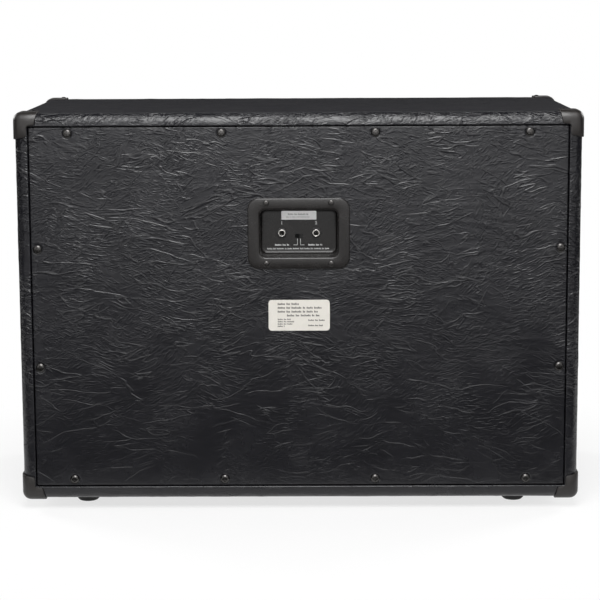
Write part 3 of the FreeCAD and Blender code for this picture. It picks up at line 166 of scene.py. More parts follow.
class CabinetColours(bpy.types.PropertyGroup):
    """Linear colours of the finishes."""

    leathercloth: colour("Leathercloth", "Black grained covering", (0.0084, 0.0083, 0.0104))
    # The crease colour is a painted highlight: the crease lines are drawn lighter to stand for the gloss they
    # catch.
    crease: colour("Crease", "Covering where a crease is rubbed", (0.016, 0.0158, 0.0175))
    corner_plastic: colour("Corner plastic", "Corner protectors", (0.0145, 0.0124, 0.0115))
    dish_plastic: colour("Dish plastic", "Socket dish", (0.0105, 0.0092, 0.0088))
    handle_plastic: colour("Handle plastic", "Handle dishes", (0.022, 0.022, 0.022))
    rubber: colour("Rubber", "Feet and grips", (0.018, 0.018, 0.018))
    socket_plastic: colour("Socket plastic", "Nuts and cases of the sockets", (0.0126, 0.0126, 0.0126))
    switch_plastic: colour("Switch plastic", "Slider of the switch", (0.0036, 0.0036, 0.0036))
    black_steel: colour("Black steel", "Blackened screws", (0.075, 0.072, 0.070))
    zinc: colour("Zinc", "Bright plated screws", (0.20, 0.195, 0.19))
    nickel: colour("Nickel", "Socket ferrules", (0.70, 0.68, 0.65))
    rating_paper: colour("Rating label", "Off-white label on the rear panel", (0.63, 0.605, 0.555))
    dish_paper: colour("Dish label", "White label in the dish", (0.97, 0.97, 0.96))
    ink: colour("Ink", "Print on the labels", (0.05, 0.05, 0.05))
    grey_ink: colour("Grey ink", "Print on the dish's label", (0.28, 0.28, 0.28))
    white_ink: colour("White ink", "Print on the dish", (0.62, 0.62, 0.62))
    cloth_dark: colour("Dark thread", "Grille cloth's warp", (0.016, 0.016, 0.017))
    cloth_light: colour("Light thread", "Grille cloth's weft", (0.16, 0.155, 0.145))
    piping: colour("Piping", "Bead round the grille", (0.42, 0.40, 0.36))
    hook_and_loop: colour("Hook and loop", "Pads that hold the grille", (0.02, 0.02, 0.02))
    board_dark: colour("Dark grain", "Dark grain of the boards", (0.36, 0.22, 0.11))
    board_light: colour("Light grain", "Light grain of the boards", (0.58, 0.42, 0.25))
    black_stain: colour("Black stain", "Baffle, battens and grille frame", (0.012, 0.011, 0.010))
    basket_paint: colour("Basket paint", "Drivers' baskets", (0.05, 0.05, 0.052))
    ferrite: colour("Ferrite", "Drivers' magnets", (0.045, 0.045, 0.047))
    motor_steel: colour("Motor steel", "Drivers' plates", (0.45, 0.44, 0.42))
    cone_paper: colour("Cone paper", "Cones, their edges and dust caps", (0.030, 0.028, 0.026))
    spider_cloth: colour("Spider cloth", "Drivers' spiders", (0.42, 0.30, 0.14))
    coil_copper: colour("Coil copper", "Voice coils", (0.72, 0.33, 0.16))
    gasket_board: colour("Gasket board", "Gaskets under the drivers", (0.10, 0.08, 0.06))
    terminal_brass: colour("Terminal brass", "Tags of the sockets", (0.60, 0.44, 0.18))
    terminal_board: colour("Terminal board", "Terminals of the drivers", (0.10, 0.045, 0.02))
    lead_sheath: colour("Lead sheath", "Leads to the drivers", (0.03, 0.03, 0.032))
    floor: colour("Floor", "Studio floor", (0.86, 0.86, 0.86))
    dark_card: colour("Dark card", "Cards that the gloss shows", (0.01, 0.01, 0.01))


class CabinetStage(bpy.types.PropertyGroup):
    """Camera and studio light."""

    camera_distance: length("Camera distance", "From the rear face to the camera", 2.2)
    camera_height: length("Camera height", "Of the camera above the floor", 0.6547)
    camera_side: length("Camera side", "Of the camera from the middle, along X", -0.0187)
    camera_pitch: degrees("Camera pitch", "How far the camera looks down", 8.035)
    camera_yaw: degrees("Camera yaw", "How far the camera turns to its right", -0.448)
    camera_roll: degrees("Camera roll", "How far the camera leans", -0.2875)
    camera_lens: amount("Camera lens", "Focal length in millimetres", 107.5, "CAMERA")
    camera_shift: amount("Camera shift", "Vertical shift of the frame", -0.10)
    key_power: amount("Key power", "Watts of the lamp that faces the rear", 6.0, "POWER")
    top_power: amount("Top power", "Watts of the lamp above the rear", 31.0, "POWER")
    side_power: amount("Side power", "Watts of each lamp at the front's sides", 45.0, "POWER")
    ambient: amount("Ambient", "Strength of the even light from all round", 0.16)


def sizes():
    return bpy.context.scene.cabinet_sizes


def colours():
    return bpy.context.scene.cabinet_colours


def stage_values():
    return bpy.context.scene.cabinet_stage


# Places taken from the frame

def middle(node):
    low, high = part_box(node)
    return (low + high) / 2


def half_size(node):
    low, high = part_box(node)
    return (high - low) / 2


def solids_of(node):
    """Box of each separate solid in a node, found on a merged copy of its mesh."""
    bm = bmesh.new()
    bm.from_mesh(frame["nodes"][node].data)
    bmesh.ops.remove_doubles(bm, verts=bm.verts[:], dist=WELD)
    waiting = set(bm.verts)
    boxes = []
    for start in bm.verts:
        if start not in waiting:
            continue
        waiting.remove(start)
        island = [start]
        for vert in island:
            for edge in vert.link_edges:
                other = edge.other_vert(vert)
                if other in waiting:
                    waiting.remove(other)
                    island.append(other)
        low = Vector([min(vert.co[axis] for vert in island) for axis in range(3)])
        high = Vector([max(vert.co[axis] for vert in island) for axis in range(3)])
        boxes.append((low, high))
    bm.free()
    return boxes


# Mesh building

def smooth_step(value, low, high):
    share = min(max((value - low) / (high - low), 0.0), 1.0)
    return share * share * (3.0 - 2.0 * share)


def rounded_path(points, steps=FILLET_STEPS):
    """Points along straight runs whose corners are arcs. Each point is across, along and its radius."""
    path = [Vector(points[0][:2])]
    for before, here, after in zip(points, points[1:], points[2:]):
        corner = Vector(here[:2])
        back = (Vector(before[:2]) - corner).normalized()
        ahead = (Vector(after[:2]) - corner).normalized()
        half = back.angle(ahead) / 2
        if here[2] == 0:
            path.append(corner)
            continue
        centre = corner + (back + ahead).normalized() * here[2] / math.sin(half)
        first = (corner + back * here[2] / math.tan(half) - centre).normalized()
        last = (corner + ahead * here[2] / math.tan(half) - centre).normalized()
        square = (last - first * first.dot(last)).normalized()
        for step in range(steps + 1):
            angle = (math.pi - half * 2) * step / steps
            path.append(centre + (first * math.cos(angle) + square * math.sin(angle)) * here[2])
    path.append(Vector(points[-1][:2]))
    return path


def stepped_path(path, step):
    """The same path with its long runs divided."""
    fine = [path[0]]
    for start, end in zip(path, path[1:]):
        parts = max(1, round((end - start).length / step))
        fine += [start.lerp(end, part / parts) for part in range(1, parts + 1)]
    return fine


def parts_of(made, kind):
    return [item for item in made["geom"] if isinstance(item, kind)]


def edges_among(bm, verts):
    chosen = set(verts)
    return [edge for edge in bm.edges if edge.verts[0] in chosen and edge.verts[1] in chosen]


def ring(bm, shape):
    """A rounded rectangle of edges. Its shape is half width, half height, radius and level."""
    half_u, half_v, radius, level = shape
    half_step = Matrix.Rotation(math.pi / (4 * CORNER_STEPS), 4, "Z")
    made = bmesh.ops.create_circle(bm, segments=4 * CORNER_STEPS, radius=radius, matrix=half_step)
    for vert in made["verts"]:
        vert.co.x += math.copysign(half_u - radius, vert.co.x)
        vert.co.y += math.copysign(half_v - radius, vert.co.y)
        vert.co.z = level
    return edges_among(bm, made["verts"])


def next_ring(bm, edges, old, new):
    """Extrudes a ring and fits the copy to another rounded rectangle."""
    made = bmesh.ops.extrude_edge_only(bm, edges=edges)
    for vert in parts_of(made, bmesh.types.BMVert):
        for axis in (0, 1):
            old_core = old[axis] - old[2]
            core = min(max(vert.co[axis], -old_core), old_core)
            round_share = (vert.co[axis] - core) / old[2]
            vert.co[axis] = core * (new[axis] - new[2]) / old_core + round_share * new[2]
        vert.co.z = new[3]
    return parts_of(made, bmesh.types.BMEdge)


def lofted(bm, shapes, step=None):
    """Faces through rounded rectangles, one after another. Gives the first and the last ring."""
    first = ring(bm, shapes[0])
    if step:
        long_edges = [edge for edge in first if edge.calc_length() > step * 2]
        for edge in long_edges:
            bmesh.ops.subdivide_edges(bm, edges=[edge], cuts=round(edge.calc_length() / step) - 1)
        first = bm.edges[:]
    last = first
    for old, new in zip(shapes, shapes[1:]):
        last = next_ring(bm, last, old, new)
    return first, last


def spun(bm, path, place, closed=False):
    """Turns a path of radius and level about local Z, then puts it in its place."""
    verts = [bm.verts.new((point.x, 0, point.y)) for point in path]
    edges = [bm.edges.new(pair) for pair in zip(verts, verts[1:])]
    if closed:
        edges.append(bm.edges.new((verts[-1], verts[0])))
    bmesh.ops.spin(bm, geom=verts + edges, cent=(0, 0, 0), axis=(0, 0, 1), angle=math.tau, steps=TURN_STEPS,
                   use_merge=True)
    fresh = [vert for vert in bm.verts if not vert.tag]
    bmesh.ops.transform(bm, matrix=place, verts=fresh)
    for vert in fresh:
        vert.tag = True
    return fresh


def block(bm, low, high):
    """A box between two corners."""
    place = Matrix.Translation((low + high) / 2) @ Matrix.Diagonal((high - low).to_4d())
    bmesh.ops.create_cube(bm, size=1.0, matrix=place)


def lay_flat(bm, flat_place):
    """Gives every corner its place on the flat sheet."""
    layer = bm.loops.layers.uv.new(SHEET_MAP)
    for face in bm.faces:
        for loop in face.loops:
            loop[layer].uv = flat_place(loop.vert.co, face)


def tidied(bm):
    """Merges doubles and turns every face outward."""
    bmesh.ops.remove_doubles(bm, verts=bm.verts[:], dist=WELD)
    bmesh.ops.recalc_face_normals(bm, faces=bm.faces[:])


def new_piece(name, bm, material, body="cabinet", replaces=()):
    """Makes a mesh object of a bmesh, hangs it on its body and hides the CAD nodes that it replaces."""
    mesh = bpy.data.meshes.new(name)
    bm.to_mesh(mesh)
    bm.free()
    mesh.shade_smooth()
    mesh.set_sharp_from_angle(angle=math.radians(SHARP_DEGREES))
    mesh.materials.append(material)
    piece = bpy.data.objects.new(name, mesh)
    bpy.context.scene.collection.objects.link(piece)
    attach(piece, body)
    if replaces:
        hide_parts(*replaces)
    return piece


def dress(material, *nodes):
    """Gives CAD nodes that stay in view a finish."""
    for node in nodes:
        piece = frame["nodes"][node]
        if not piece.material_slots:
            piece.data.materials.append(material)
        for slot in piece.material_slots:
            slot.material = material


# Finishes

CLOUD_MIDDLE = 0.5
CLOUD_SPAN = (0.3, 0.7)
FINE_SHARE = 0.4
PATCH_SHARE = 0.6
PATCH_SCALE_SHARE = 0.06
PATCH_DETAIL = 4.0
EVEN_SHADES = (0.72, 1.28)
EVEN_ROUGHNESS = (-0.07, 0.09)

# Even finishes: colour, roughness, grains in a metre, depth of the grain in metres, metallic and specular
FINISHES = {
    "corner_plastic": ("corner_plastic", 0.38, 1400.0, 0.00006, 0.0, 0.5),
    "dish_plastic": ("dish_plastic", 0.23, 1100.0, 0.00004, 0.0, 0.45),
    "socket_metal": ("nickel", 0.22, 2200.0, 0.00001, 1.0, 0.5),
    "socket_plastic": ("socket_plastic", 0.40, 1600.0, 0.00003, 0.0, 0.5),
    "switch_plastic": ("switch_plastic", 0.60, 1600.0, 0.00003, 0.0, 0.1),
    "white_ink": ("white_ink", 0.60, 3000.0, 0.00002, 0.0, 0.5),
    "ink": ("ink", 0.60, 2500.0, 0.00001, 0.0, 0.5),
    "grey_ink": ("grey_ink", 0.60, 2500.0, 0.00001, 0.0, 0.5),
    "handle_plastic": ("handle_plastic", 0.48, 900.0, 0.00012, 0.0, 0.5),
    "handle_grip": ("rubber", 0.60, 1500.0, 0.00005, 0.0, 0.5),
    "foot_rubber": ("rubber", 0.72, 1200.0, 0.0001, 0.0, 0.5),
    "black_steel": ("black_steel", 0.24, 1800.0, 0.00003, 1.0, 0.5),
    "bright_zinc": ("zinc", 0.30, 1800.0, 0.00002, 1.0, 0.5),
    "piping": ("piping", 0.50, 700.0, 0.0001, 0.0, 0.5),
    "hook_and_loop": ("hook_and_loop", 0.90, 1800.0, 0.0006, 0.0, 0.5),
    "black_stain": ("black_stain", 0.70, 500.0, 0.0002, 0.0, 0.5),
    "basket_paint": ("basket_paint", 0.42, 900.0, 0.00008, 0.0, 0.5),
    "ferrite": ("ferrite", 0.68, 500.0, 0.0002, 0.0, 0.5),
    "motor_steel": ("motor_steel", 0.36, 1500.0, 0.00003, 1.0, 0.5),
    "cone_paper": ("cone_paper", 0.85, 420.0, 0.0004, 0.0, 0.5),
    "spider_cloth": ("spider_cloth", 0.82, 1300.0, 0.0003, 0.0, 0.5),
    "coil_copper": ("coil_copper", 0.32, 2600.0, 0.00006, 1.0, 0.5),
    "gasket_board": ("gasket_board", 0.85, 600.0, 0.0003, 0.0, 0.5),
    "terminal_brass": ("terminal_brass", 0.34, 1500.0, 0.00002, 1.0, 0.5),
    "terminal_board": ("terminal_board", 0.60, 1100.0, 0.0001, 0.0, 0.5),
    "lead_sheath": ("lead_sheath", 0.50, 1300.0, 0.00006, 0.0, 0.5),
    "dark_card": ("dark_card", 0.90, 50.0, 0.0001, 0.0, 0.5),
}

# Leathercloth: lengths in metres, clouds in a metre, and the span of a cloud that makes a mark
SWAY_SCALE = 9.0
SWAY_REACH = 0.03
RIPPLE_LENGTH = 0.0095
RIPPLE_WIDTH = 0.0021
RIPPLE_SPAN = (0.50, 0.76)
RIPPLE_PATCH_SCALE = 13.0
RIPPLE_PATCH_SPAN = (0.45, 0.62)
RIPPLE_SHARE = 0.9
CREASE_SPAN = 0.02
CREASE_DETAIL = 2.5
CREASE_PATCH_SCALE = 14.0
CREASE_PATCH_SPAN = (0.49, 0.60)
SWELL_LENGTH = 0.02
SWELL_WIDTH = 0.008
SWELL_SHARE = 0.5
GRAIN_SCALE = 700.0
GRAIN_SHARE = 0.05
CROWN_SHARE = 2.7
MOTTLE_SCALE = 22.0
MOTTLE_SHADES = (0.75, 1.25)
RELIEF_DEPTH = 0.00053
CALM_HEIGHTS = (0.06, 0.36)
CALM_SHARE = 0.32
EDGE_DEPTHS = (0.132, 0.144)
BORDER_BLEND = 0.002
BORDER_EXTRA = 0.7
LID_DEPTHS = (0.003, 0.001)
LID_EXTRA_ROUGHNESS = 0.25
CLOTH_ROUGHNESS = (0.22, 0.29)
CLOTH_SPECULAR = 0.42
LID_SPECULAR = 0.10

# Sets of ripples: tilt in degrees and place in the noise
RIPPLE_SETS = (
    (3.0, (0.0, 0.0, 0.0)),
    (-24.0, (0.4, 0.2, 3.0)),
    (27.0, (0.7, 0.6, 5.0)),
    (-52.0, (0.2, 0.9, 8.0)),
)

# Sets of long creases: tilt in degrees, length, width, weight and place in the noise
CREASE_SETS = (
    (4.0, 0.11, 0.027, 1.0, (1.3, 0.1, 2.0)),
    (-17.0, 0.09, 0.024, 1.0, (2.1, 0.5, 4.0)),
    (21.0, 0.09, 0.026, 1.0, (3.7, 1.1, 6.0)),
    (-62.0, 0.08, 0.03, 0.5, (4.4, 2.3, 9.0)),
)


class Finish:
    """A material whose nodes are added one call at a time."""

    def __init__(self, name):
        self.material = bpy.data.materials.new(name)
        self.material.use_nodes = True
        self.tree = self.material.node_tree
        self.shader = self.tree.nodes["Principled BSDF"]
        self.place = self.add("ShaderNodeTexCoord").outputs["Object"]

    def sheet_place(self):
        """Where a point lies on its flat sheet, in metres."""
        return self.add("ShaderNodeUVMap", uv_map=SHEET_MAP).outputs["UV"]

    def drawn_out(self, vector, along, across, tilt=0.0, shift=(0, 0, 0)):
        """Stretches a flat pattern along a line that leans from level."""
        node = self.add("ShaderNodeMapping", vector_type="TEXTURE")
        self.feed(node.inputs["Vector"], vector)
        node.inputs["Location"].default_value = shift
        node.inputs["Rotation"].default_value = (0.0, 0.0, math.radians(tilt))
        node.inputs["Scale"].default_value = (along, across, 1.0)
        return node.outputs["Vector"]

    def add(self, kind, **settings):
        node = self.tree.nodes.new(kind)
        for name, value in settings.items():
            setattr(node, name, value)
        return node

    def feed(self, socket, value):
        """Links an output to a socket, or sets the socket to a plain value."""
        if isinstance(value, bpy.types.NodeSocket):
            self.tree.links.new(value, socket)
        elif socket.type == "RGBA":
            socket.default_value = (*value[:3], 1.0)
        else:
            socket.default_value = value

    def surface(self, **sockets):
        """Sets the shader's sockets, named with underscores."""
        for name, value in sockets.items():
            self.feed(self.shader.inputs[name.replace("_", " ")], value)

    def spread(self, vector, scale=(1, 1, 1), shift=(0, 0, 0)):
        node = self.add("ShaderNodeMapping")
        self.feed(node.inputs["Vector"], vector)
        node.inputs["Scale"].default_value = scale
        node.inputs["Location"].default_value = shift
        return node.outputs["Vector"]

    def clouds(self, vector, scale=1.0, detail=2.0, output="Fac"):
        node = self.add("ShaderNodeTexNoise")
        self.feed(node.inputs["Vector"], vector)
        node.inputs["Scale"].default_value = scale
        node.inputs["Detail"].default_value = detail
        return node.outputs[output]

    def sum(self, operation, first, second=0.0, third=0.0):
        node = self.add("ShaderNodeMath", operation=operation)
        for socket, value in zip(node.inputs, (first, second, third)):
            self.feed(socket, value)
        return node.outputs["Value"]

    def vector_sum(self, operation, first, second):
        node = self.add("ShaderNodeVectorMath", operation=operation)
        self.feed(node.inputs[0], first)
        self.feed(node.inputs[1], second)
        return node.outputs["Vector"]

    def axes(self, vector):
        node = self.add("ShaderNodeSeparateXYZ")
        self.feed(node.inputs["Vector"], vector)
        return node.outputs["X"], node.outputs["Y"], node.outputs["Z"]

    def between(self, value, low, high, to_low=0.0, to_high=1.0):
        """Maps a value from one range to another, held at both ends."""
        node = self.add("ShaderNodeMapRange")
        for socket, number in zip(node.inputs, (value, low, high, to_low, to_high)):
            self.feed(socket, number)
        return node.outputs["Result"]

    def tint(self, share, first, second):
        node = self.add("ShaderNodeMix", data_type="RGBA")
        self.feed(node.inputs["Factor"], share)
        self.feed(node.inputs[6], first)
        self.feed(node.inputs[7], second)
        return node.outputs[2]

    def relief(self, height, distance):
        node = self.add("ShaderNodeBump")
        node.inputs["Strength"].default_value = 1.0
        node.inputs["Distance"].default_value = distance
        self.feed(node.inputs["Height"], height)
        return node.outputs["Normal"]

    def ridge(self, vector, width, detail):
        """Thin lines where a noise crosses its middle."""
        cloud = self.clouds(vector, detail=detail)
        away = self.sum("ABSOLUTE", self.sum("SUBTRACT", cloud, CLOUD_MIDDLE))
        return self.between(away, 0.0, width, 1.0, 0.0)


def shade(rgb, share):
    return tuple(channel * share for channel in rgb[:3])


def in_patches(finish, mark, flat, shift, scale, span, weight=1.0):
    """A mark that shows only where a large cloud is dense."""
    cloud = finish.clouds(finish.spread(flat, shift=shift), scale)
    return finish.sum("MULTIPLY", mark, finish.between(cloud, *span, 0.0, weight))


def short_ripples(finish, flat, bent):
    """The highest of all the sets of short ripples."""
    highest = 0.0
    for tilt, shift in RIPPLE_SETS:
        cloud = finish.clouds(finish.drawn_out(bent, RIPPLE_LENGTH, RIPPLE_WIDTH, tilt, shift), detail=1.0)
        ripple = finish.between(cloud, *RIPPLE_SPAN)
        ripple = in_patches(finish, ripple, flat, shift, RIPPLE_PATCH_SCALE, RIPPLE_PATCH_SPAN)
        highest = finish.sum("MAXIMUM", ripple, highest)
    return highest


def long_creases(finish, flat, bent):
    """The highest of all the sets of long creases."""
    highest = 0.0
    for tilt, along, across, weight, shift in CREASE_SETS:
        crease = finish.ridge(finish.drawn_out(bent, along, across, tilt, shift), CREASE_SPAN, CREASE_DETAIL)
        crease = in_patches(finish, crease, flat, shift, CREASE_PATCH_SCALE, CREASE_PATCH_SPAN, weight)
        highest = finish.sum("MAXIMUM", crease, highest)
    return highest


def beyond_panel(finish, across_at, height_at):
    """How far a point lies outside the rear panel's outline."""
    panel = half_size("rear_panel_covering")
    up = finish.sum("SUBTRACT", height_at, middle("rear_panel_covering").z)
    out_u = finish.sum("SUBTRACT", finish.sum("ABSOLUTE", across_at), panel.x)
    out_v = finish.sum("SUBTRACT", finish.sum("ABSOLUTE", up), panel.z)
    return finish.sum("MAXIMUM", out_u, out_v)


def leathercloth():
    """Black grained vinyl: ripples that lean both ways, a few long creases across them, and a fine grain.

    It is calmer low down, crowned and deeper creased on the border, and duller on the flat of the top.
    Its long creases are painted lighter, more so higher up: a painted highlight for the gloss they catch.
    """
    finish = Finish("leathercloth")
    hues = colours()
    shell = half_size("shell_covering")
    lid = middle("shell_covering").z + shell.z
    flat = finish.sheet_place()
    sway = finish.clouds(flat, SWAY_SCALE, output="Color")
    sway = finish.vector_sum("SUBTRACT", sway, (CLOUD_MIDDLE, CLOUD_MIDDLE, CLOUD_MIDDLE))
    sway = finish.vector_sum("MULTIPLY", sway, (SWAY_REACH, SWAY_REACH, 0.0))
    bent = finish.vector_sum("ADD", flat, sway)
    across_at, depth_at, height_at = finish.axes(finish.place)
    rise = finish.between(height_at, *CALM_HEIGHTS, CALM_SHARE, 1.0)
    edge = finish.between(finish.sum("ABSOLUTE", depth_at), *EDGE_DEPTHS)
    out = beyond_panel(finish, across_at, height_at)
    rim = shell.x - half_size("rear_panel_covering").x
    crown = finish.sum("COSINE", finish.between(out, 0.0, rim, 0.0, math.pi))
    border = finish.sum("MULTIPLY", finish.between(out, 0.0, BORDER_BLEND), edge)
    border = finish.sum("MULTIPLY_ADD", border, BORDER_EXTRA, 1.0)
    dull = finish.between(height_at, lid - LID_DEPTHS[0], lid - LID_DEPTHS[1])
    dull = finish.sum("MULTIPLY", dull, finish.between(edge, 0.0, 1.0, 1.0, 0.0))
    ripples = finish.sum("MULTIPLY", short_ripples(finish, flat, bent), RIPPLE_SHARE)
    creases = long_creases(finish, flat, bent)
    relief = finish.sum("MULTIPLY", finish.sum("MAXIMUM", ripples, creases), rise)
    swell = finish.clouds(finish.drawn_out(bent, SWELL_LENGTH, SWELL_WIDTH))
    folds = finish.sum("MULTIPLY", finish.sum("MULTIPLY_ADD", swell, SWELL_SHARE, relief), border)
    height = finish.sum("MULTIPLY_ADD", crown, CROWN_SHARE, folds)
    height = finish.sum("MULTIPLY_ADD", finish.clouds(finish.place, GRAIN_SCALE), GRAIN_SHARE, height)
    patches = finish.clouds(finish.place, MOTTLE_SCALE, PATCH_DETAIL)
    base = finish.tint(patches, *(shade(hues.leathercloth, share) for share in MOTTLE_SHADES))
    roughness = finish.between(patches, *CLOUD_SPAN, *CLOTH_ROUGHNESS)
    finish.surface(
        # The crease lines are painted lighter, more so higher up: a painted highlight for their gloss.
        Base_Color=finish.tint(finish.sum("MULTIPLY", creases, rise), base, hues.crease),
        Roughness=finish.sum("MULTIPLY_ADD", dull, LID_EXTRA_ROUGHNESS, roughness),
        Specular_IOR_Level=finish.between(dull, 0.0, 1.0, CLOTH_SPECULAR, LID_SPECULAR),
        Normal=finish.relief(height, RELIEF_DEPTH),
    )
    return finish.material


def even_finish(name):
    """An even material with a fine grain, whose patches are a little lighter and duller."""
    hue, roughness, grain, depth, metallic, specular = FINISHES[name]
    rgb = getattr(colours(), hue)
    finish = Finish(name)
    patches = finish.clouds(finish.place, grain * PATCH_SCALE_SHARE, PATCH_DETAIL)
    fine = finish.clouds(finish.place, grain)
    mottle = finish.sum("MULTIPLY_ADD", fine, FINE_SHARE, finish.sum("MULTIPLY", patches, PATCH_SHARE))
    finish.surface(
        Base_Color=finish.tint(mottle, *(shade(rgb, share) for share in EVEN_SHADES)),
        Roughness=finish.between(mottle, *CLOUD_SPAN, *(roughness + change for change in EVEN_ROUGHNESS)),
        Metallic=metallic,
        Specular_IOR_Level=specular,
        Normal=finish.relief(fine, depth),
    )
    return finish.material


def paper(name, rgb):
    """Label stock: fibres, faint stains and a slight gloss."""
    finish = Finish(name)
    fibre = finish.clouds(finish.place, scale=900.0, detail=3.0)
    stain = finish.clouds(finish.place, scale=60.0, detail=3.0)
    sheet = finish.tint(fibre, shade(rgb, 0.95), shade(rgb, 1.03))
    stained = finish.between(stain, low=0.55, high=0.8, to_high=0.5)
    finish.surface(
        Base_Color=finish.tint(stained, sheet, shade(rgb, 0.86)),
        Roughness=finish.between(fibre, *CLOUD_SPAN, to_low=0.42, to_high=0.56),
        Normal=finish.relief(fibre, distance=0.00004),
    )
    return finish.material


def woven_cloth():
    """Grille cloth: dark and light threads that pass over and under each other."""
    finish = Finish("grille_weave")
    hues = colours()
    pitch = sizes().thread_pitch
    under = 0.5
    across_at, _, height_at = finish.axes(finish.place)
    across = finish.sum("DIVIDE", across_at, pitch)
    up = finish.sum("DIVIDE", height_at, pitch)
    warp = finish.sum("ABSOLUTE", finish.sum("SINE", finish.sum("MULTIPLY", across, math.pi)))
    weft = finish.sum("ABSOLUTE", finish.sum("SINE", finish.sum("MULTIPLY", up, math.pi)))
    crossing = finish.sum("ADD", finish.sum("FLOOR", across), finish.sum("FLOOR", up))
    over = finish.sum("FLOORED_MODULO", crossing, 2.0)
    warp_high = finish.sum("MULTIPLY", warp, finish.between(over, 0.0, 1.0, under, 1.0))
    weft_high = finish.sum("MULTIPLY", weft, finish.between(over, 0.0, 1.0, 1.0, under))
    top = finish.sum("GREATER_THAN", weft_high, warp_high)
    height = finish.sum("MAXIMUM", warp_high, weft_high)
    fluff = finish.clouds(finish.place, scale=1500.0, detail=3.0)
    slub = finish.clouds(finish.spread(finish.place, scale=(40, 1, 500)))
    light = finish.tint(slub, shade(hues.cloth_light, 0.45), shade(hues.cloth_light, 1.35))
    thread = finish.tint(top, hues.cloth_dark, light)
    shadow = finish.between(height, low=0.25, high=0.75, to_low=0.35)
    lit = finish.add("ShaderNodeMix", data_type="RGBA", blend_type="MULTIPLY")
    lit.inputs[0].default_value = 1.0
    finish.feed(lit.inputs[6], thread)
    finish.feed(lit.inputs[7], shadow)
    finish.surface(
        Base_Color=lit.outputs[2],
        Roughness=finish.between(fluff, *CLOUD_SPAN, to_low=0.62, to_high=0.82),
        Normal=finish.relief(finish.sum("MULTIPLY_ADD", fluff, 0.15, height), distance=0.0006),
    )
    return finish.material


def layered_board():
    """Birch plywood: pale, with a drawn-out grain."""
    finish = Finish("board")
    hues = colours()
    grain = finish.clouds(finish.spread(finish.place, scale=(6, 60, 60)), scale=3.0, detail=5.0)
    pores = finish.clouds(finish.spread(finish.place, scale=(40, 400, 400)))
    finish.surface(
        Base_Color=finish.tint(grain, hues.board_dark, hues.board_light),
        Roughness=finish.between(pores, *CLOUD_SPAN, to_low=0.55, to_high=0.75),
        Normal=finish.relief(pores, distance=0.0002),
    )
    return finish.material


# Covering

# Creases in the mesh: noise in a metre along X, Y and Z, and shares
CREASE_SEED = 5
CREASE_SWAY_SCALE = 7.0
CREASE_SWAY_REACH = (0.02, 0.03, 0.04)
LONG_FOLD_SCALE = (9.0, 26.0, 48.0)
LONG_FOLD_SHARPNESS = 6.0
SHORT_FOLD_SCALE = (26.0, 50.0, 96.0)
SHORT_FOLD_SHIFT = 5.0
SHORT_FOLD_SHARPNESS = 5.0
SHORT_FOLD_SHARE = 0.6
FOLD_PATCH_SCALE = 11.0
FOLD_PATCH_SHIFT = Vector((3.0, 7.0, 1.0))
FOLD_PATCH_SPAN = (-0.15, 0.35)
PANEL_CALM_SHARE = 0.4
PANEL_CALM_SPAN = (-0.2, 0.15)
SIDE_FOLD_SHARE = 0.8
EDGE_FOLD_SHARE = 0.9
EDGE_REACH_SHARES = (1.6, 0.5)
DIMPLE_FLAT_SHARE = 0.80
DIMPLE_MESH_SHARE = 1.3
EDGE_CALM_SHARE = 4
SHELL_FILLET_STEPS = 7


def crease_share(point):
    """Height of the leathercloth at a point, from 0 to 1: long folds along the sheet that come in patches."""
    sway = noise.noise_vector(point * CREASE_SWAY_SCALE)
    bent = point + Vector([sway[axis] * CREASE_SWAY_REACH[axis] for axis in range(3)])
    fold = noise.noise(Vector([bent[axis] * LONG_FOLD_SCALE[axis] for axis in range(3)]))
    short_spot = [bent[axis] * SHORT_FOLD_SCALE[axis] for axis in range(3)]
    short_spot[0] += SHORT_FOLD_SHIFT
    short = noise.noise(Vector(short_spot))
    patch = smooth_step(noise.noise(point * FOLD_PATCH_SCALE + FOLD_PATCH_SHIFT), *FOLD_PATCH_SPAN)
    line = smooth_step(1.0 - abs(fold) * LONG_FOLD_SHARPNESS, 0.0, 1.0) * patch
    minor = smooth_step(1.0 - abs(short) * SHORT_FOLD_SHARPNESS, 0.0, 1.0)
    return line + minor * (1.0 - patch) * SHORT_FOLD_SHARE


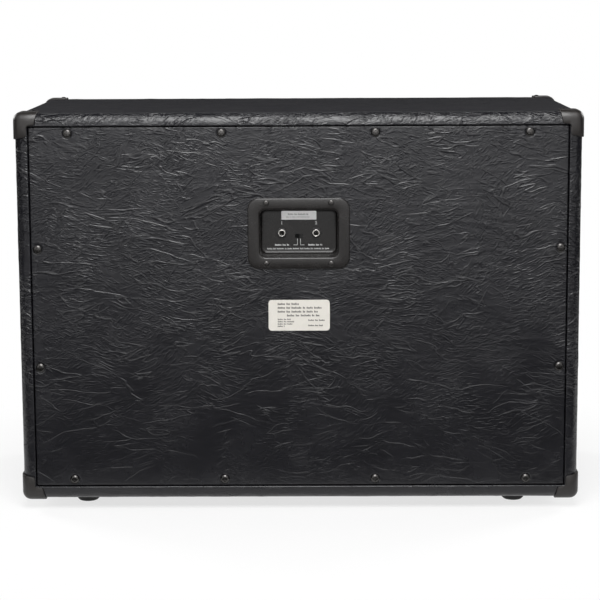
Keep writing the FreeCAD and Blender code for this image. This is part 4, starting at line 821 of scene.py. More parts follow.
def wrapped_sheet(node, facing, step, edge, wall, height_at, spots=(), hole=None):
    """A sheet wrapped round a board's face and sides.

    The spots get a finer mesh. The hole is its half width, its half height and its level on the face.
    """
    half = half_size(node)
    centre = middle(node)
    half_u, half_v, depth = half.x, half.z, half.y * 2
    face = Vector((centre.x, centre.y + half.y * facing, centre.z))
    place = Matrix.Translation(face) @ (REARWARD if facing > 0 else FORWARD)
    bm = bmesh.new()
    flat_u, flat_v = half_u - edge, half_v - edge
    spread = Matrix.Diagonal((flat_u * 2, flat_v * 2, 1, 1))
    bmesh.ops.create_grid(bm, x_segments=round(flat_u * 2 / step), y_segments=round(flat_v * 2 / step),
                          size=0.5, matrix=spread)
    for spot_u, spot_v, radius in spots:
        spot = Vector((spot_u, spot_v))
        near = [item for item in bm.edges
                if all((vert.co.xy - spot).length < radius * DIMPLE_MESH_SHARE for vert in item.verts)]
        bmesh.ops.subdivide_edges(bm, edges=near, cuts=2, use_grid_fill=True)
    if hole:
        hole_u, hole_v, hole_centre = hole
        inside = [item for item in bm.faces
                  if abs(item.calc_center_median().x) < hole_u
                  and abs(item.calc_center_median().y - hole_centre) < hole_v]
        bmesh.ops.delete(bm, geom=inside, context="FACES")
    rim = [item for item in bm.edges if item.is_boundary]
    outer = [item for item in rim
             if all(abs(vert.co.x) > flat_u - WELD or abs(vert.co.y) > flat_v - WELD for vert in item.verts)]
    around = set(outer)
    cut = [item for item in rim if item not in around]
    for vert in bm.verts:
        inset = min(flat_u - abs(vert.co.x), flat_v - abs(vert.co.y))
        vert.co.z = height_at(vert.co.x, vert.co.y) * smooth_step(inset, 0.0, edge * EDGE_CALM_SHARE)
    path = rounded_path([(edge, 0.0, 0.0), (0.0, 0.0, edge), (0.0, -depth, 0.0), (wall, -depth, 0.0),
                         (wall, -wall, 0.0)])[1:]
    inset_before = edge
    for point in path:
        if abs(point.x - inset_before) < WELD and abs(point.y) < WELD:
            continue
        made = bmesh.ops.extrude_edge_only(bm, edges=outer)
        for vert in parts_of(made, bmesh.types.BMVert):
            vert.co.x *= (half_u - point.x) / (half_u - inset_before)
            vert.co.y *= (half_v - point.x) / (half_v - inset_before)
            vert.co.z = point.y
        outer = parts_of(made, bmesh.types.BMEdge)
        inset_before = point.x
    back = list(outer)
    if cut:
        made = bmesh.ops.extrude_edge_only(bm, edges=cut)
        for vert in parts_of(made, bmesh.types.BMVert):
            vert.co.z = -wall
        back += parts_of(made, bmesh.types.BMEdge)
    bmesh.ops.triangle_fill(bm, use_beauty=True, edges=back)
    bmesh.ops.transform(bm, matrix=place, verts=bm.verts[:])
    tidied(bm)
    return bm


def flat_wrap(half):
    """A wrapped sheet's flat size, and its area without the squares that are cut from its corners."""
    turn_down = half.y * 2
    flat = ((half.x + turn_down) * 2, (half.z + turn_down) * 2)
    return flat, flat[0] * flat[1] - turn_down ** 2 * 4


def make_rear_covering(material):
    size = sizes()
    node = "rear_panel_covering"
    centre = middle(node)
    screws = [(low + high) / 2 for low, high in solids_of("rear_panel_screws")]
    spots = [(spot.x - centre.x, spot.z - centre.z, size.dimple_radius) for spot in screws]
    dish_low, dish_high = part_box("jack_dish")
    hole_u = (dish_high.x - dish_low.x) / 2 - size.dish_lap
    hole_v = (dish_high.z - dish_low.z) / 2 - size.dish_lap
    hole_centre = (dish_high.z + dish_low.z) / 2 - centre.z
    face_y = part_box(node)[1].y

    def height_at(u, v):
        point = Vector((u, face_y, v + centre.z))
        calm = PANEL_CALM_SHARE + (1.0 - PANEL_CALM_SHARE) * smooth_step(v, *PANEL_CALM_SPAN)
        rise = crease_share(point) * size.crease_height * calm
        nearest = min(math.hypot(u - spot[0], v - spot[1]) for spot in spots)
        pull = 1.0 - smooth_step(nearest, size.dimple_radius * DIMPLE_FLAT_SHARE, size.dimple_radius)
        return rise * (1.0 - pull) - pull * size.dimple_depth

    bm = wrapped_sheet(node, 1, size.panel_step, size.panel_edge, size.cloth_thickness, height_at, spots,
                       (hole_u, hole_v, hole_centre))
    lay_flat(bm, lambda spot, face: (spot.x, spot.z))
    piece = new_piece("rear_panel_leathercloth", bm, material, replaces=(node,))
    flat, area = flat_wrap(half_size(node))
    area -= hole_u * hole_v * 4


def make_shell_covering(material):
    size = sizes()
    node = "shell_covering"
    half = half_size(node)
    centre = middle(node)
    rim = half.x - half_size("rear_panel_covering").x - size.panel_gap
    rear_half = [(rim, half.y - size.mouth_turn_in, 0.0), (rim, half.y, size.mouth_lip),
                 (0.0, half.y, size.shell_edge)]
    front_half = [(inset, -depth, radius) for inset, depth, radius in reversed(rear_half)]
    path = stepped_path(rounded_path(rear_half + front_half, SHELL_FILLET_STEPS), size.shell_step)
    shapes = []
    for point in path:
        corner = max(size.shell_edge - point.x, LEAST_SHELL_CORNER)
        shapes.append((half.x - point.x, half.z - point.x, corner, point.y))
    bm = bmesh.new()
    lofted(bm, shapes, size.shell_step)
    bmesh.ops.transform(bm, matrix=Matrix.Translation(centre) @ REARWARD, verts=bm.verts[:])
    for handle in ("left_handle_dish", "right_handle_dish"):
        spot = middle(handle)
        reach = half_size(handle)
        inside = [face for face in bm.faces
                  if abs(face.calc_center_median().x) > half.x - size.shell_edge
                  and face.calc_center_median().x * spot.x > 0
                  and abs(face.calc_center_median().y - spot.y) < reach.y - size.handle_lap
                  and abs(face.calc_center_median().z - spot.z) < reach.z - size.handle_lap]
        bmesh.ops.delete(bm, geom=inside, context="FACES")
    tidied(bm)
    bm.normal_update()
    edge_from, edge_to = (half.y - size.shell_edge * share for share in EDGE_REACH_SHARES)
    moves = []
    for vert in bm.verts:
        extra = EDGE_FOLD_SHARE * smooth_step(abs(vert.co.y), edge_from, edge_to)
        rise = crease_share(vert.co) * size.crease_height * (SIDE_FOLD_SHARE + extra)
        moves.append((vert, vert.normal * rise))
    for vert, move in moves:
        vert.co += move
    bmesh.ops.solidify(bm, geom=bm.faces[:], thickness=size.cloth_thickness)

    def unrolled(spot, face):
        """The shell's sheet laid out round its rear face, with a mitre at the corners."""
        face_spot = face.calc_center_median()
        away = half.y - spot.y
        if half.z - abs(face_spot.z - centre.z) < half.x - abs(face_spot.x):
            return (spot.x, spot.z + math.copysign(away, face_spot.z - centre.z))
        return (spot.x + math.copysign(away, face_spot.x), spot.z)

    lay_flat(bm, unrolled)
    piece = new_piece("shell_leathercloth", bm, material, replaces=(node,))


# Corner protectors

CAP_BLOCK_SHARE = 1.5
CAP_ROUND_STEPS = 7
CAP_CORNER_STEPS = 4
SQUARE_DEGREES = 130
RIM_DEGREES = 55


def corner_cap():
    """One protector, with its outer corner at the origin and its legs along X and Z."""
    size = sizes()
    bm = bmesh.new()
    reach = size.cap_upright * CAP_BLOCK_SHARE
    block(bm, Vector((0, 0, 0)), Vector((reach, reach, reach)))
    near = [edge for edge in bm.edges
            if sum(max(vert.co[axis] for vert in edge.verts) < WELD for axis in range(3)) == 2]
    bmesh.ops.bevel(bm, geom=near, offset=size.cap_round, affect="EDGES", segments=CAP_ROUND_STEPS,
                    profile=0.5, material=-1)
    far = [face for face in bm.faces if max(face.calc_center_median()) > reach - WELD]
    bmesh.ops.delete(bm, geom=far, context="FACES")
    slope = size.cap_slant / size.cap_width
    cuts = (
        ((0, 0, size.cap_upright), (slope, 0, 1), True),
        ((size.cap_level, 0, 0), (1, 0, slope), True),
        ((0, size.cap_leaf, 0), (0, 1, 0), True),
        ((size.cap_width, 0, 0), (1, 0, 0), False),
        ((0, 0, size.cap_width), (0, 0, 1), False),
    )
    for spot, normal, cut_off in cuts:
        bmesh.ops.bisect_plane(bm, geom=bm.verts[:] + bm.edges[:] + bm.faces[:], plane_co=spot,
                               plane_no=normal, clear_outer=cut_off)
    inner = [face for face in bm.faces
             if min(face.calc_center_median().x, face.calc_center_median().z) > size.cap_width]
    bmesh.ops.delete(bm, geom=inner, context="FACES")
    corners = []
    for vert in bm.verts:
        rim = [edge.other_vert(vert).co - vert.co for edge in vert.link_edges if edge.is_boundary]
        if len(rim) == 2 and rim[0].angle(rim[1]) < math.radians(SQUARE_DEGREES):
            corners.append(vert)
    bmesh.ops.bevel(bm, geom=corners, offset=size.cap_corner, affect="VERTICES", segments=CAP_CORNER_STEPS,
                    profile=0.5, material=-1)
    tidied(bm)
    bmesh.ops.solidify(bm, geom=bm.faces[:], thickness=size.cap_wall)
    rims = [edge for edge in bm.edges
            if len(edge.link_faces) == 2 and edge.calc_face_angle() > math.radians(RIM_DEGREES)]
    bmesh.ops.bevel(bm, geom=rims, offset=size.cap_rim, affect="EDGES", segments=2, profile=0.5, material=-1)
    mesh = bpy.data.meshes.new("corner_cap")
    bm.to_mesh(mesh)
    bm.free()
    return mesh


def make_corner_caps(material):
    cap = corner_cap()
    for end in ("rear", "front"):
        node = f"{end}_corner_protectors"
        low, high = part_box(node)
        y_side = math.copysign(1, high.y + low.y)
        bm = bmesh.new()
        for x_side in (-1, 1):
            for z_side in (-1, 1):
                sides = (x_side, y_side, z_side)
                before = set(bm.verts)
                bm.from_mesh(cap)
                fresh = [vert for vert in bm.verts if vert not in before]
                corner = Vector([(high if side > 0 else low)[axis] for axis, side in enumerate(sides)])
                place = Matrix.Translation(corner) @ Matrix.Diagonal((*(-side for side in sides), 1))
                bmesh.ops.transform(bm, matrix=place, verts=fresh)
        tidied(bm)
        new_piece(f"{end}_corner_caps", bm, material, replaces=(node,))
    bpy.data.meshes.remove(cap)


# Socket dish, sockets and switch

FLOOR_START_SHARE = 1.6
NUT_SIDES = 6
NUT_TURN = math.radians(30)
SLIDER_RIDGES = 3
FACING_REAR = 0.9

# Rows of print marks: how many marks a group has, and a mark's shares of the row's height
MARK_GROUPS = (6, 3, 8, 2, 5, 7, 4)
MARK_PITCH_SHARE = 0.62
MARK_WIDTH_SHARE = 0.44
SHORT_MARK_SHARE = 0.74
TALL_MARK_EVERY = 3

# Print on the dish's floor, in metres from the switch's middle and from the sockets
LEAD_LINE = 0.00050
LEAD_TOP = 0.0034
LEAD_LOW = 0.0112
LEAD_SIDE = 0.0019
LEAD_REACH = 0.0050
WORD_NEAR = 0.0118
WORD_FAR = 0.0300
WORD_HEIGHT = 0.0022
FOOT_ROW_REACH = 0.0400
FOOT_ROW_DROP = 0.0048
FOOT_ROW_HEIGHT = 0.0018
NUMBER_RISE = 0.0076

# Rows on the labels: level, left end, right end and height, as shares of the label's half sizes
RATING_ROW_SHARES = (
    (0.74, -0.70, 0.0, 0.13),
    (0.49, -0.70, 0.74, 0.13),
    (0.24, -0.70, 0.62, 0.13),
    (-0.01, -0.40, 0.70, 0.13),
    (-0.26, -0.70, -0.25, 0.09),
    (-0.41, -0.70, -0.15, 0.09),
    (-0.56, -0.70, -0.20, 0.09),
    (-0.71, -0.70, -0.45, 0.09),
    (-0.32, 0.30, 0.86, 0.10),
    (-0.66, 0.30, 0.78, 0.10),
)
DISH_ROW_SHARES = (
    (0.25, -0.62, 0.55, 0.34),
    (-0.38, -0.72, 0.62, 0.18),
)


def frame_travel(joint):
    """How far a sliding joint goes from rest."""
    for row in frame["record"]["behaviour"]["joints"]:
        if row["name"] == joint:
            return max(abs(limit) for limit in row["range_m"])
    raise KeyError(joint)


def dish_shapes(half_u, half_v, outline, outer_radius, opening_inset, opening_radius):
    """Rounded rectangles down a dish's profile, whose corners tighten toward its floor."""
    shapes = []
    for point in outline:
        share = min(point.x / opening_inset, 1.0)
        radius = outer_radius + (opening_radius - outer_radius) * share
        radius = max(radius - max(point.x - opening_inset, 0.0), LEAST_DISH_CORNER)
        shapes.append((half_u - point.x, half_v - point.x, radius, point.y))
    return shapes


def dish_outline(rim, depth, flange, wall, draft, lip, floor_round, flange_round):
    """A dish's profile as inset and level, from its floor over its flange to its underside."""
    floor = rim + depth * math.tan(draft)
    return rounded_path([
        (floor + floor_round * FLOOR_START_SHARE, -depth, 0.0),
        (floor, -depth, floor_round),
        (rim, 0.0, lip),
        (0.0, 0.0, flange_round),
        (0.0, -flange, 0.0),
        (rim - wall, -flange, 0.0),
        (floor - wall, -depth - wall, 0.0),
    ])


def add_well(bm, edges, wall, floor_edges, back_edges):
    """The wall of a hole through a dish's floor."""
    made = bmesh.ops.extrude_edge_only(bm, edges=edges)
    for vert in parts_of(made, bmesh.types.BMVert):
        vert.co.z -= wall
    floor_edges += edges
    back_edges += parts_of(made, bmesh.types.BMEdge)


def make_socket_dish(material):
    size = sizes()
    node = "jack_dish"
    half = half_size(node)
    centre = middle(node)
    centre.y += half.y
    flange = centre.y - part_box("rear_panel_covering")[1].y
    wall = size.dish_wall
    depth = half.y * 2 - wall
    outline = dish_outline(size.dish_rim, depth, flange, wall, size.dish_draft, size.dish_lip,
                           size.dish_floor_round, size.dish_flange_round)
    shapes = dish_shapes(half.x, half.z, outline, size.dish_corner, size.dish_rim, size.dish_mouth_corner)
    bm = bmesh.new()
    floor_ring, back_ring = lofted(bm, shapes)
    floor_edges = list(floor_ring)
    back_edges = list(back_ring)
    for low, high in solids_of("jack_bushes"):
        spot = (low + high) / 2 - centre
        made = bmesh.ops.create_circle(bm, segments=TURN_STEPS // 2,
                                       radius=(high.x - low.x) / 2 + size.socket_play,
                                       matrix=Matrix.Translation((spot.x, spot.z, -depth)))
        add_well(bm, edges_among(bm, made["verts"]), wall, floor_edges, back_edges)
    low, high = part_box("mode_switch_slider")
    travel = frame_travel("mode_switch_slide")
    window_u = (high.x - low.x + travel) / 2 + size.switch_play
    window_v = (high.z - low.z) / 2 + size.switch_play
    spot_u = (low.x + high.x - travel) / 2 - centre.x
    spot_v = (low.z + high.z) / 2 - centre.z
    made = bmesh.ops.create_circle(bm, segments=4, radius=1.0, matrix=Matrix.Translation((0, 0, -depth)))
    for vert in made["verts"]:
        vert.co.x, vert.co.y = vert.co.x - vert.co.y, vert.co.x + vert.co.y
        vert.co.x = spot_u + math.copysign(window_u, vert.co.x)
        vert.co.y = spot_v + math.copysign(window_v, vert.co.y)
    add_well(bm, edges_among(bm, made["verts"]), wall, floor_edges, back_edges)
    bmesh.ops.triangle_fill(bm, use_beauty=True, edges=floor_edges)
    bmesh.ops.triangle_fill(bm, use_beauty=True, edges=back_edges)
    bmesh.ops.transform(bm, matrix=Matrix.Translation(centre) @ REARWARD, verts=bm.verts[:])
    tidied(bm)
    new_piece("socket_dish", bm, material, replaces=(node,))


def make_ferrules(material):
    size = sizes()
    bm = bmesh.new()
    for low, high in solids_of("jack_bushes"):
        centre = (low + high) / 2
        outer = (high.x - low.x) / 2
        inner = outer - size.ferrule_wall
        deep = high.y - low.y
        path = rounded_path([(inner, -deep, 0.0), (inner, 0.0, size.ferrule_bore_round),
                             (outer, 0.0, size.ferrule_rim_round), (outer, -deep, 0.0)])
        place = Matrix.Translation((centre.x, high.y, centre.z)) @ REARWARD
        spun(bm, path, place, closed=True)
    tidied(bm)
    new_piece("socket_ferrules", bm, material, replaces=("jack_bushes",))


def make_nuts(material):
    size = sizes()
    bm = bmesh.new()
    for low, high in solids_of("jack_nuts"):
        centre = (low + high) / 2
        radius = (high.x - low.x) / 2
        thick = high.y - low.y
        place = Matrix.Translation((centre.x, low.y, centre.z)) @ REARWARD
        side = bmesh.ops.create_circle(bm, segments=NUT_SIDES, radius=radius,
                                       matrix=place @ Matrix.Rotation(NUT_TURN, 4, "Z"))
        bore = bmesh.ops.create_circle(bm, segments=TURN_STEPS // 2, radius=size.nut_bore, matrix=place)
        edges = edges_among(bm, side["verts"]) + edges_among(bm, bore["verts"])
        faces = parts_of(bmesh.ops.triangle_fill(bm, use_beauty=True, edges=edges), bmesh.types.BMFace)
        made = bmesh.ops.extrude_face_region(bm, geom=faces)
        for vert in parts_of(made, bmesh.types.BMVert):
            vert.co.y += thick
        top = [edge for edge in bm.edges
               if all(abs(vert.co.y - high.y) < WELD for vert in edge.verts) and len(edge.link_faces) == 2
               and all(math.hypot(vert.co.x - centre.x, vert.co.z - centre.z) > radius - WELD * 10
                       for vert in edge.verts)]
        bmesh.ops.bevel(bm, geom=top, offset=size.nut_bevel, affect="EDGES", segments=2, profile=0.5,
                        material=-1)
    tidied(bm)
    new_piece("socket_nuts", bm, material, replaces=("jack_nuts",))


def make_slider(material):
    """The switch's slider, with ridges across its top."""
    size = sizes()
    low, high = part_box("mode_switch_slider")
    bm = bmesh.new()
    block(bm, low, Vector((high.x, high.y - size.slider_ridge, high.z)))
    along = [edge for edge in bm.edges if abs(edge.verts[0].co.x - edge.verts[1].co.x) > WELD]
    bmesh.ops.subdivide_edges(bm, edges=along, cuts=SLIDER_RIDGES * 2, use_grid_fill=True)
    tops = [face for face in bm.faces if face.normal.y > FACING_REAR]
    tops.sort(key=lambda face: face.calc_center_median().x)
    made = bmesh.ops.extrude_discrete_faces(bm, faces=tops[1::2])
    raised = {vert for face in made["faces"] for vert in face.verts}
    for vert in raised:
        vert.co.y += size.slider_ridge
    tidied(bm)
    piece = new_piece("switch_knob", bm, material, "switch_slider", ("mode_switch_slider",))
    bevel = piece.modifiers.new("Worn edges", "BEVEL")
    bevel.width = size.slider_wear
    bevel.segments = 2


def print_row(bm, left, right, face_y, level, height):
    """A row of plain upright marks in groups, from left to right as they are read from behind."""
    pitch = height * MARK_PITCH_SHARE
    spot = left
    group = 0
    while spot - pitch > right:
        for mark in range(MARK_GROUPS[group % len(MARK_GROUPS)]):
            if spot - pitch < right:
                break
            tall = height * (1.0 if mark % TALL_MARK_EVERY == 0 else SHORT_MARK_SHARE)
            low = Vector((spot - height * MARK_WIDTH_SHARE, face_y, level - height / 2))
            block(bm, low, Vector((spot, face_y + INK_DEPTH, low.z + tall)))
            spot -= pitch
        spot -= pitch
        group += 1


def make_label_print(name, node, rows, material):
    """Rows of marks on a label, given as shares of its half sizes."""
    centre = middle(node)
    half = half_size(node)
    face_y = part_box(node)[1].y
    bm = bmesh.new()
    for level, left, right, height in rows:
        print_row(bm, centre.x - half.x * left, centre.x - half.x * right, face_y, centre.z + half.z * level,
                  half.z * height)
    tidied(bm)
    new_piece(name, bm, material)


def make_dish_print(material):
    """Numbers over the sockets, lines that lead from the switch, and rows of marks under them."""
    floor_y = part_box("jack_nuts")[0].y
    ink_y = floor_y + INK_DEPTH
    switch = middle("mode_switch_body")
    lead_top = switch.z - LEAD_TOP
    lead_low = switch.z - LEAD_LOW
    bm = bmesh.new()
    for side in (-1, 1):
        near = LEAD_SIDE * side + switch.x
        far = near + LEAD_REACH * side
        block(bm, Vector((near - LEAD_LINE / 2, floor_y, lead_low)),
              Vector((near + LEAD_LINE / 2, ink_y, lead_top)))
        block(bm, Vector((min(near, far), floor_y, lead_low - LEAD_LINE)),
              Vector((max(near, far), ink_y, lead_low)))
    print_row(bm, switch.x + WORD_FAR, switch.x + WORD_NEAR, floor_y, lead_low, WORD_HEIGHT)
    print_row(bm, switch.x - WORD_NEAR, switch.x - WORD_FAR, floor_y, lead_low, WORD_HEIGHT)
    print_row(bm, switch.x + FOOT_ROW_REACH, switch.x - FOOT_ROW_REACH, floor_y, lead_low - FOOT_ROW_DROP,
              FOOT_ROW_HEIGHT)
    tidied(bm)
    new_piece("dish_lines", bm, material)
    bushes = sorted(solids_of("jack_bushes"), key=lambda box: -box[0].x)
    for number, (low, high) in enumerate(bushes, 1):
        make_number(number, Vector(((low.x + high.x) / 2, floor_y, high.z + NUMBER_RISE)), material)


def make_number(number, spot, material):
    """A plain printed number that is read from behind the cabinet."""
    size = sizes()
    text = bpy.data.curves.new("number", "FONT")
    text.body = str(number)
    text.size = size.number_height
    text.offset = size.number_weight
    text.extrude = INK_DEPTH / 2
    text.align_x = "CENTER"
    text.align_y = "CENTER"
    holder = bpy.data.objects.new("number", text)
    bpy.context.scene.collection.objects.link(holder)
    graph = bpy.context.evaluated_depsgraph_get()
    flat = bpy.data.meshes.new_from_object(holder.evaluated_get(graph))
    bm = bmesh.new()
    bm.from_mesh(flat)
    bmesh.ops.transform(bm, matrix=Matrix.Translation(spot + Vector((0, text.extrude, 0))) @ READ_FROM_REAR,
                        verts=bm.verts[:])
    bpy.data.objects.remove(holder)
    bpy.data.curves.remove(text)
    bpy.data.meshes.remove(flat)
    tidied(bm)
    new_piece(f"dish_number_{number}", bm, material)


# Screws

# A head's profile: how far out, how far up and its rounding, as shares of the radius, height and radius
HEAD_SHARES = ((0.0, 1.0, 0.0), (0.70, 0.92, 0.4), (1.0, 0.34, 0.1), (1.0, 0.0, 0.0))
HEAD_FILLET_STEPS = 4
SHANK_SHARE = 0.38
RECESS_LEVEL_SHARE = 0.7
RECESS_WIDTH_SHARE = 0.13
RECESS_REACH_SHARE = 0.5
RECESS_DEPTH_SHARE = 0.55


def make_screws(name, node, seat, material):
    """Pan-head screws with a cross recess, whose heads stand on the seat's rear face."""
    size = sizes()
    face_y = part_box(seat)[1].y
    bm = bmesh.new()
    for low, high in solids_of(node):
        centre = Vector(((low.x + high.x) / 2, face_y, (low.z + high.z) / 2))
        radius = (high.x - low.x) / 2
        height = high.y - face_y
        shank = radius * SHANK_SHARE
        deep = face_y - low.y
        profile = [(radius * out, height * up, radius * rounding) for out, up, rounding in HEAD_SHARES]
        profile += [(shank, 0.0, 0.0), (shank, shank - deep, 0.0), (0.0, -deep, 0.0)]
        path = rounded_path(profile, HEAD_FILLET_STEPS)
        fine = stepped_path([point for point in path if point.y > height / 2], size.screw_step)
        fine += [point for point in path if point.y <= height / 2]
        for vert in spun(bm, fine, Matrix.Translation(centre) @ REARWARD):
            narrow, wide = sorted((abs(vert.co.x - centre.x), abs(vert.co.z - centre.z)))
            in_cross = narrow < radius * RECESS_WIDTH_SHARE and wide < radius * RECESS_REACH_SHARE
            if in_cross and vert.co.y > face_y + height * RECESS_LEVEL_SHARE:
                vert.co.y -= height * RECESS_DEPTH_SHARE
    tidied(bm)
    new_piece(name, bm, material, replaces=(node,))


# Handles

COLLAR_FLAT_SHARE = 0.4
GROOVE_SHARE = 0.6
RIB_SWELL_SHARE = 0.45
RIB_FLANK_SHARE = 0.2
GRIP_FILLET_STEPS = 3


def make_handle(name, outward, dish_material, grip_material):
    size = sizes()
    node = f"{name}_handle_dish"
    low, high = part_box(node)
    half = half_size(node)
    face_x = high.x if name == "right" else low.x
    flange = abs(face_x) - half_size("shell_covering").x
    grip_low, grip_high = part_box(f"{name}_handle_grip")
    rim = half.y - (grip_high.y - grip_low.y) / 2
    wall = size.handle_wall
    depth = half.x * 2 - wall
    outline = dish_outline(rim, depth, flange, wall, 0.0, size.handle_lip, size.handle_floor_round,
                           size.handle_flange_round)
    shapes = dish_shapes(half.y, half.z, outline, size.handle_corner, rim, size.handle_mouth_corner)
    bm = bmesh.new()
    for edges in lofted(bm, shapes):
        bmesh.ops.edgeloop_fill(bm, edges=edges)
    place = Matrix.Translation((face_x, middle(node).y, middle(node).z)) @ outward
    bmesh.ops.transform(bm, matrix=place, verts=bm.verts[:])
    tidied(bm)
    new_piece(f"{name}_handle_well", bm, dish_material, replaces=(node,))
    make_grip(name, grip_low, grip_high, grip_material)


def make_grip(name, low, high, material):
    """A ribbed sleeve on a bar, flared where the bar goes into the dish's ends."""
    size = sizes()
    centre = (low + high) / 2
    radius = (high.x - low.x) / 2
    half = (high.y - low.y) / 2
    collar = size.grip_collar
    pitch = size.grip_rib_pitch
    rib_height = size.grip_rib_height
    ribs = int((half - collar) * 2 / pitch)
    start = -ribs * pitch / 2
    body = radius - rib_height
    groove = body - rib_height * GROOVE_SHARE
    near_end = [(0.0, -half, 0.0), (radius, -half, 0.0),
                (radius, collar * COLLAR_FLAT_SHARE - half, size.grip_collar_round),
                (body, collar - half, 0.0)]
    far_end = [(out, -level, rounding) for out, level, rounding in reversed(near_end)]
    outline = list(near_end)
    for rib in range(ribs):
        level = start + rib * pitch
        crest = body + rib_height * RIB_SWELL_SHARE * (1 - ((level + pitch / 2) / half) ** 2)
        outline.append((groove, level, 0.0))
        outline.append((crest, level + pitch * RIB_FLANK_SHARE, size.grip_rib_round))
        outline.append((crest, level + pitch * (1 - RIB_FLANK_SHARE), size.grip_rib_round))
    outline.append((groove, -start, 0.0))
    outline += far_end
    bm = bmesh.new()
    turn = Matrix.Rotation(math.radians(-90), 4, "X")
    spun(bm, rounded_path(outline, GRIP_FILLET_STEPS), Matrix.Translation(centre) @ turn)
    tidied(bm)
    new_piece(f"{name}_handle_bar", bm, material, replaces=(f"{name}_handle_grip",))


# Grille

GRILLE_WAVE_SCALE = 9.0
GRILLE_WAVE_SLICE = 4.0


def make_grille_cloth(material):
    size = sizes()
    node = "grille_cloth"

    def height_at(u, v):
        spot = Vector((u * GRILLE_WAVE_SCALE, v * GRILLE_WAVE_SCALE, GRILLE_WAVE_SLICE))
        return noise.noise(spot) * size.grille_wave

    bm = wrapped_sheet(node, -1, size.cloth_step, size.cloth_edge, size.grille_thickness, height_at)
    piece = new_piece("grille_weave", bm, material, replaces=(node,))


# Stage

FLOOR_REACH = 40.0
CAMERA_CLIP = 100.0
FLOOR_STRETCH = (0.8, 1.2, 1.0)
FADE_FROM = 0.25
FADE_TO = 0.62
FADE_SHARE = 0.72

# Lamps: where each stands, what it faces, its width, its depth and the value that holds its power
LAMPS = (
    ("key_lamp", (0.0, 2.6, 0.68), (0.0, 0.15, 0.27), 1.4, 0.3, "key_power"),
    ("top_lamp", (0.0, 0.99, 1.556), (0.0, 0.15, 0.5), 0.95, 1.17, "top_power"),
    ("left_lamp", (-2.2, -1.5, 1.2), (0.0, 0.0, 0.25), 0.8, 0.8, "side_power"),
    ("right_lamp", (2.2, -1.5, 1.2), (0.0, 0.0, 0.25), 0.8, 0.8, "side_power"),
)

# Dark cards round the cabinet, from corner to corner
CARD_SIDE = 1.6
CARD_FRONT = -1.5
CARD_REAR = 0.9
CARD_TOP = 1.3
CARD_LOW = 0.001
CARDS = (
    ("front_card", (-CARD_SIDE, CARD_FRONT, 0.0), (CARD_SIDE, CARD_FRONT, CARD_TOP)),
    ("ceiling_card", (-CARD_SIDE, -1.0, CARD_TOP), (CARD_SIDE, 0.33, CARD_TOP)),
    ("left_card", (-CARD_SIDE, CARD_FRONT, 0.0), (-CARD_SIDE, CARD_REAR, CARD_TOP)),
    ("right_card", (CARD_SIDE, CARD_FRONT, 0.0), (CARD_SIDE, CARD_REAR, CARD_TOP)),
    ("rear_floor_card", (-CARD_SIDE, 0.25, CARD_LOW), (CARD_SIDE, 2.1, CARD_LOW)),
    ("front_floor_card", (-CARD_SIDE, CARD_FRONT, CARD_LOW), (CARD_SIDE, -0.25, CARD_LOW)),
)


def lamp(name, spot, target, wide, deep, power):
    light = bpy.data.lights.new(name, "AREA")
    light.shape = "RECTANGLE"
    light.size = wide
    light.size_y = deep
    light.energy = power
    holder = bpy.data.objects.new(name, light)
    holder.location = spot
    holder.rotation_euler = (Vector(target) - Vector(spot)).to_track_quat("-Z", "Y").to_euler()
    holder.visible_camera = False
    bpy.context.scene.collection.objects.link(holder)


def seen_directly(tree):
    """1 for a ray that shows the background: from the camera, off gloss or through glass."""
    path = tree.nodes.new("ShaderNodeLightPath")
    seen = path.outputs["Is Camera Ray"]
    for name in ("Is Glossy Ray", "Is Transmission Ray"):
        either = tree.nodes.new("ShaderNodeMath")
        either.operation = "MAXIMUM"
        tree.links.new(seen, either.inputs[0])
        tree.links.new(path.outputs[name], either.inputs[1])
        seen = either.outputs["Value"]
    return seen


def make_world():
    world = bpy.data.worlds.new("studio")
    world.use_nodes = True
    tree = world.node_tree
    strength = tree.nodes.new("ShaderNodeMapRange")
    tree.links.new(seen_directly(tree), strength.inputs["Value"])
    strength.inputs["To Min"].default_value = stage_values().ambient
    backdrop = tree.nodes["Background"]
    backdrop.inputs["Color"].default_value = (1.0, 1.0, 1.0, 1.0)
    tree.links.new(strength.outputs["Result"], backdrop.inputs["Strength"])
    bpy.context.scene.world = world


def floor_material():
    """Pale matt floor that fades to the white background away from the cabinet."""
    finish = Finish("studio_floor")
    tree = finish.tree
    matt = finish.add("ShaderNodeBsdfDiffuse")
    finish.feed(matt.inputs["Color"], colours().floor)
    white = finish.add("ShaderNodeEmission")
    away = finish.add("ShaderNodeVectorMath", operation="LENGTH")
    finish.feed(away.inputs[0], finish.spread(finish.place, FLOOR_STRETCH))
    fade = finish.between(away.outputs["Value"], FADE_FROM, FADE_TO, FADE_SHARE, 1.0)
    mix = finish.add("ShaderNodeMixShader")
    finish.feed(mix.inputs["Fac"], finish.sum("MULTIPLY", fade, seen_directly(tree)))
    finish.feed(mix.inputs[1], matt.outputs["BSDF"])
    finish.feed(mix.inputs[2], white.outputs["Emission"])
    finish.feed(tree.nodes["Material Output"].inputs["Surface"], mix.outputs["Shader"])
    tree.nodes.remove(finish.shader)
    return finish.material


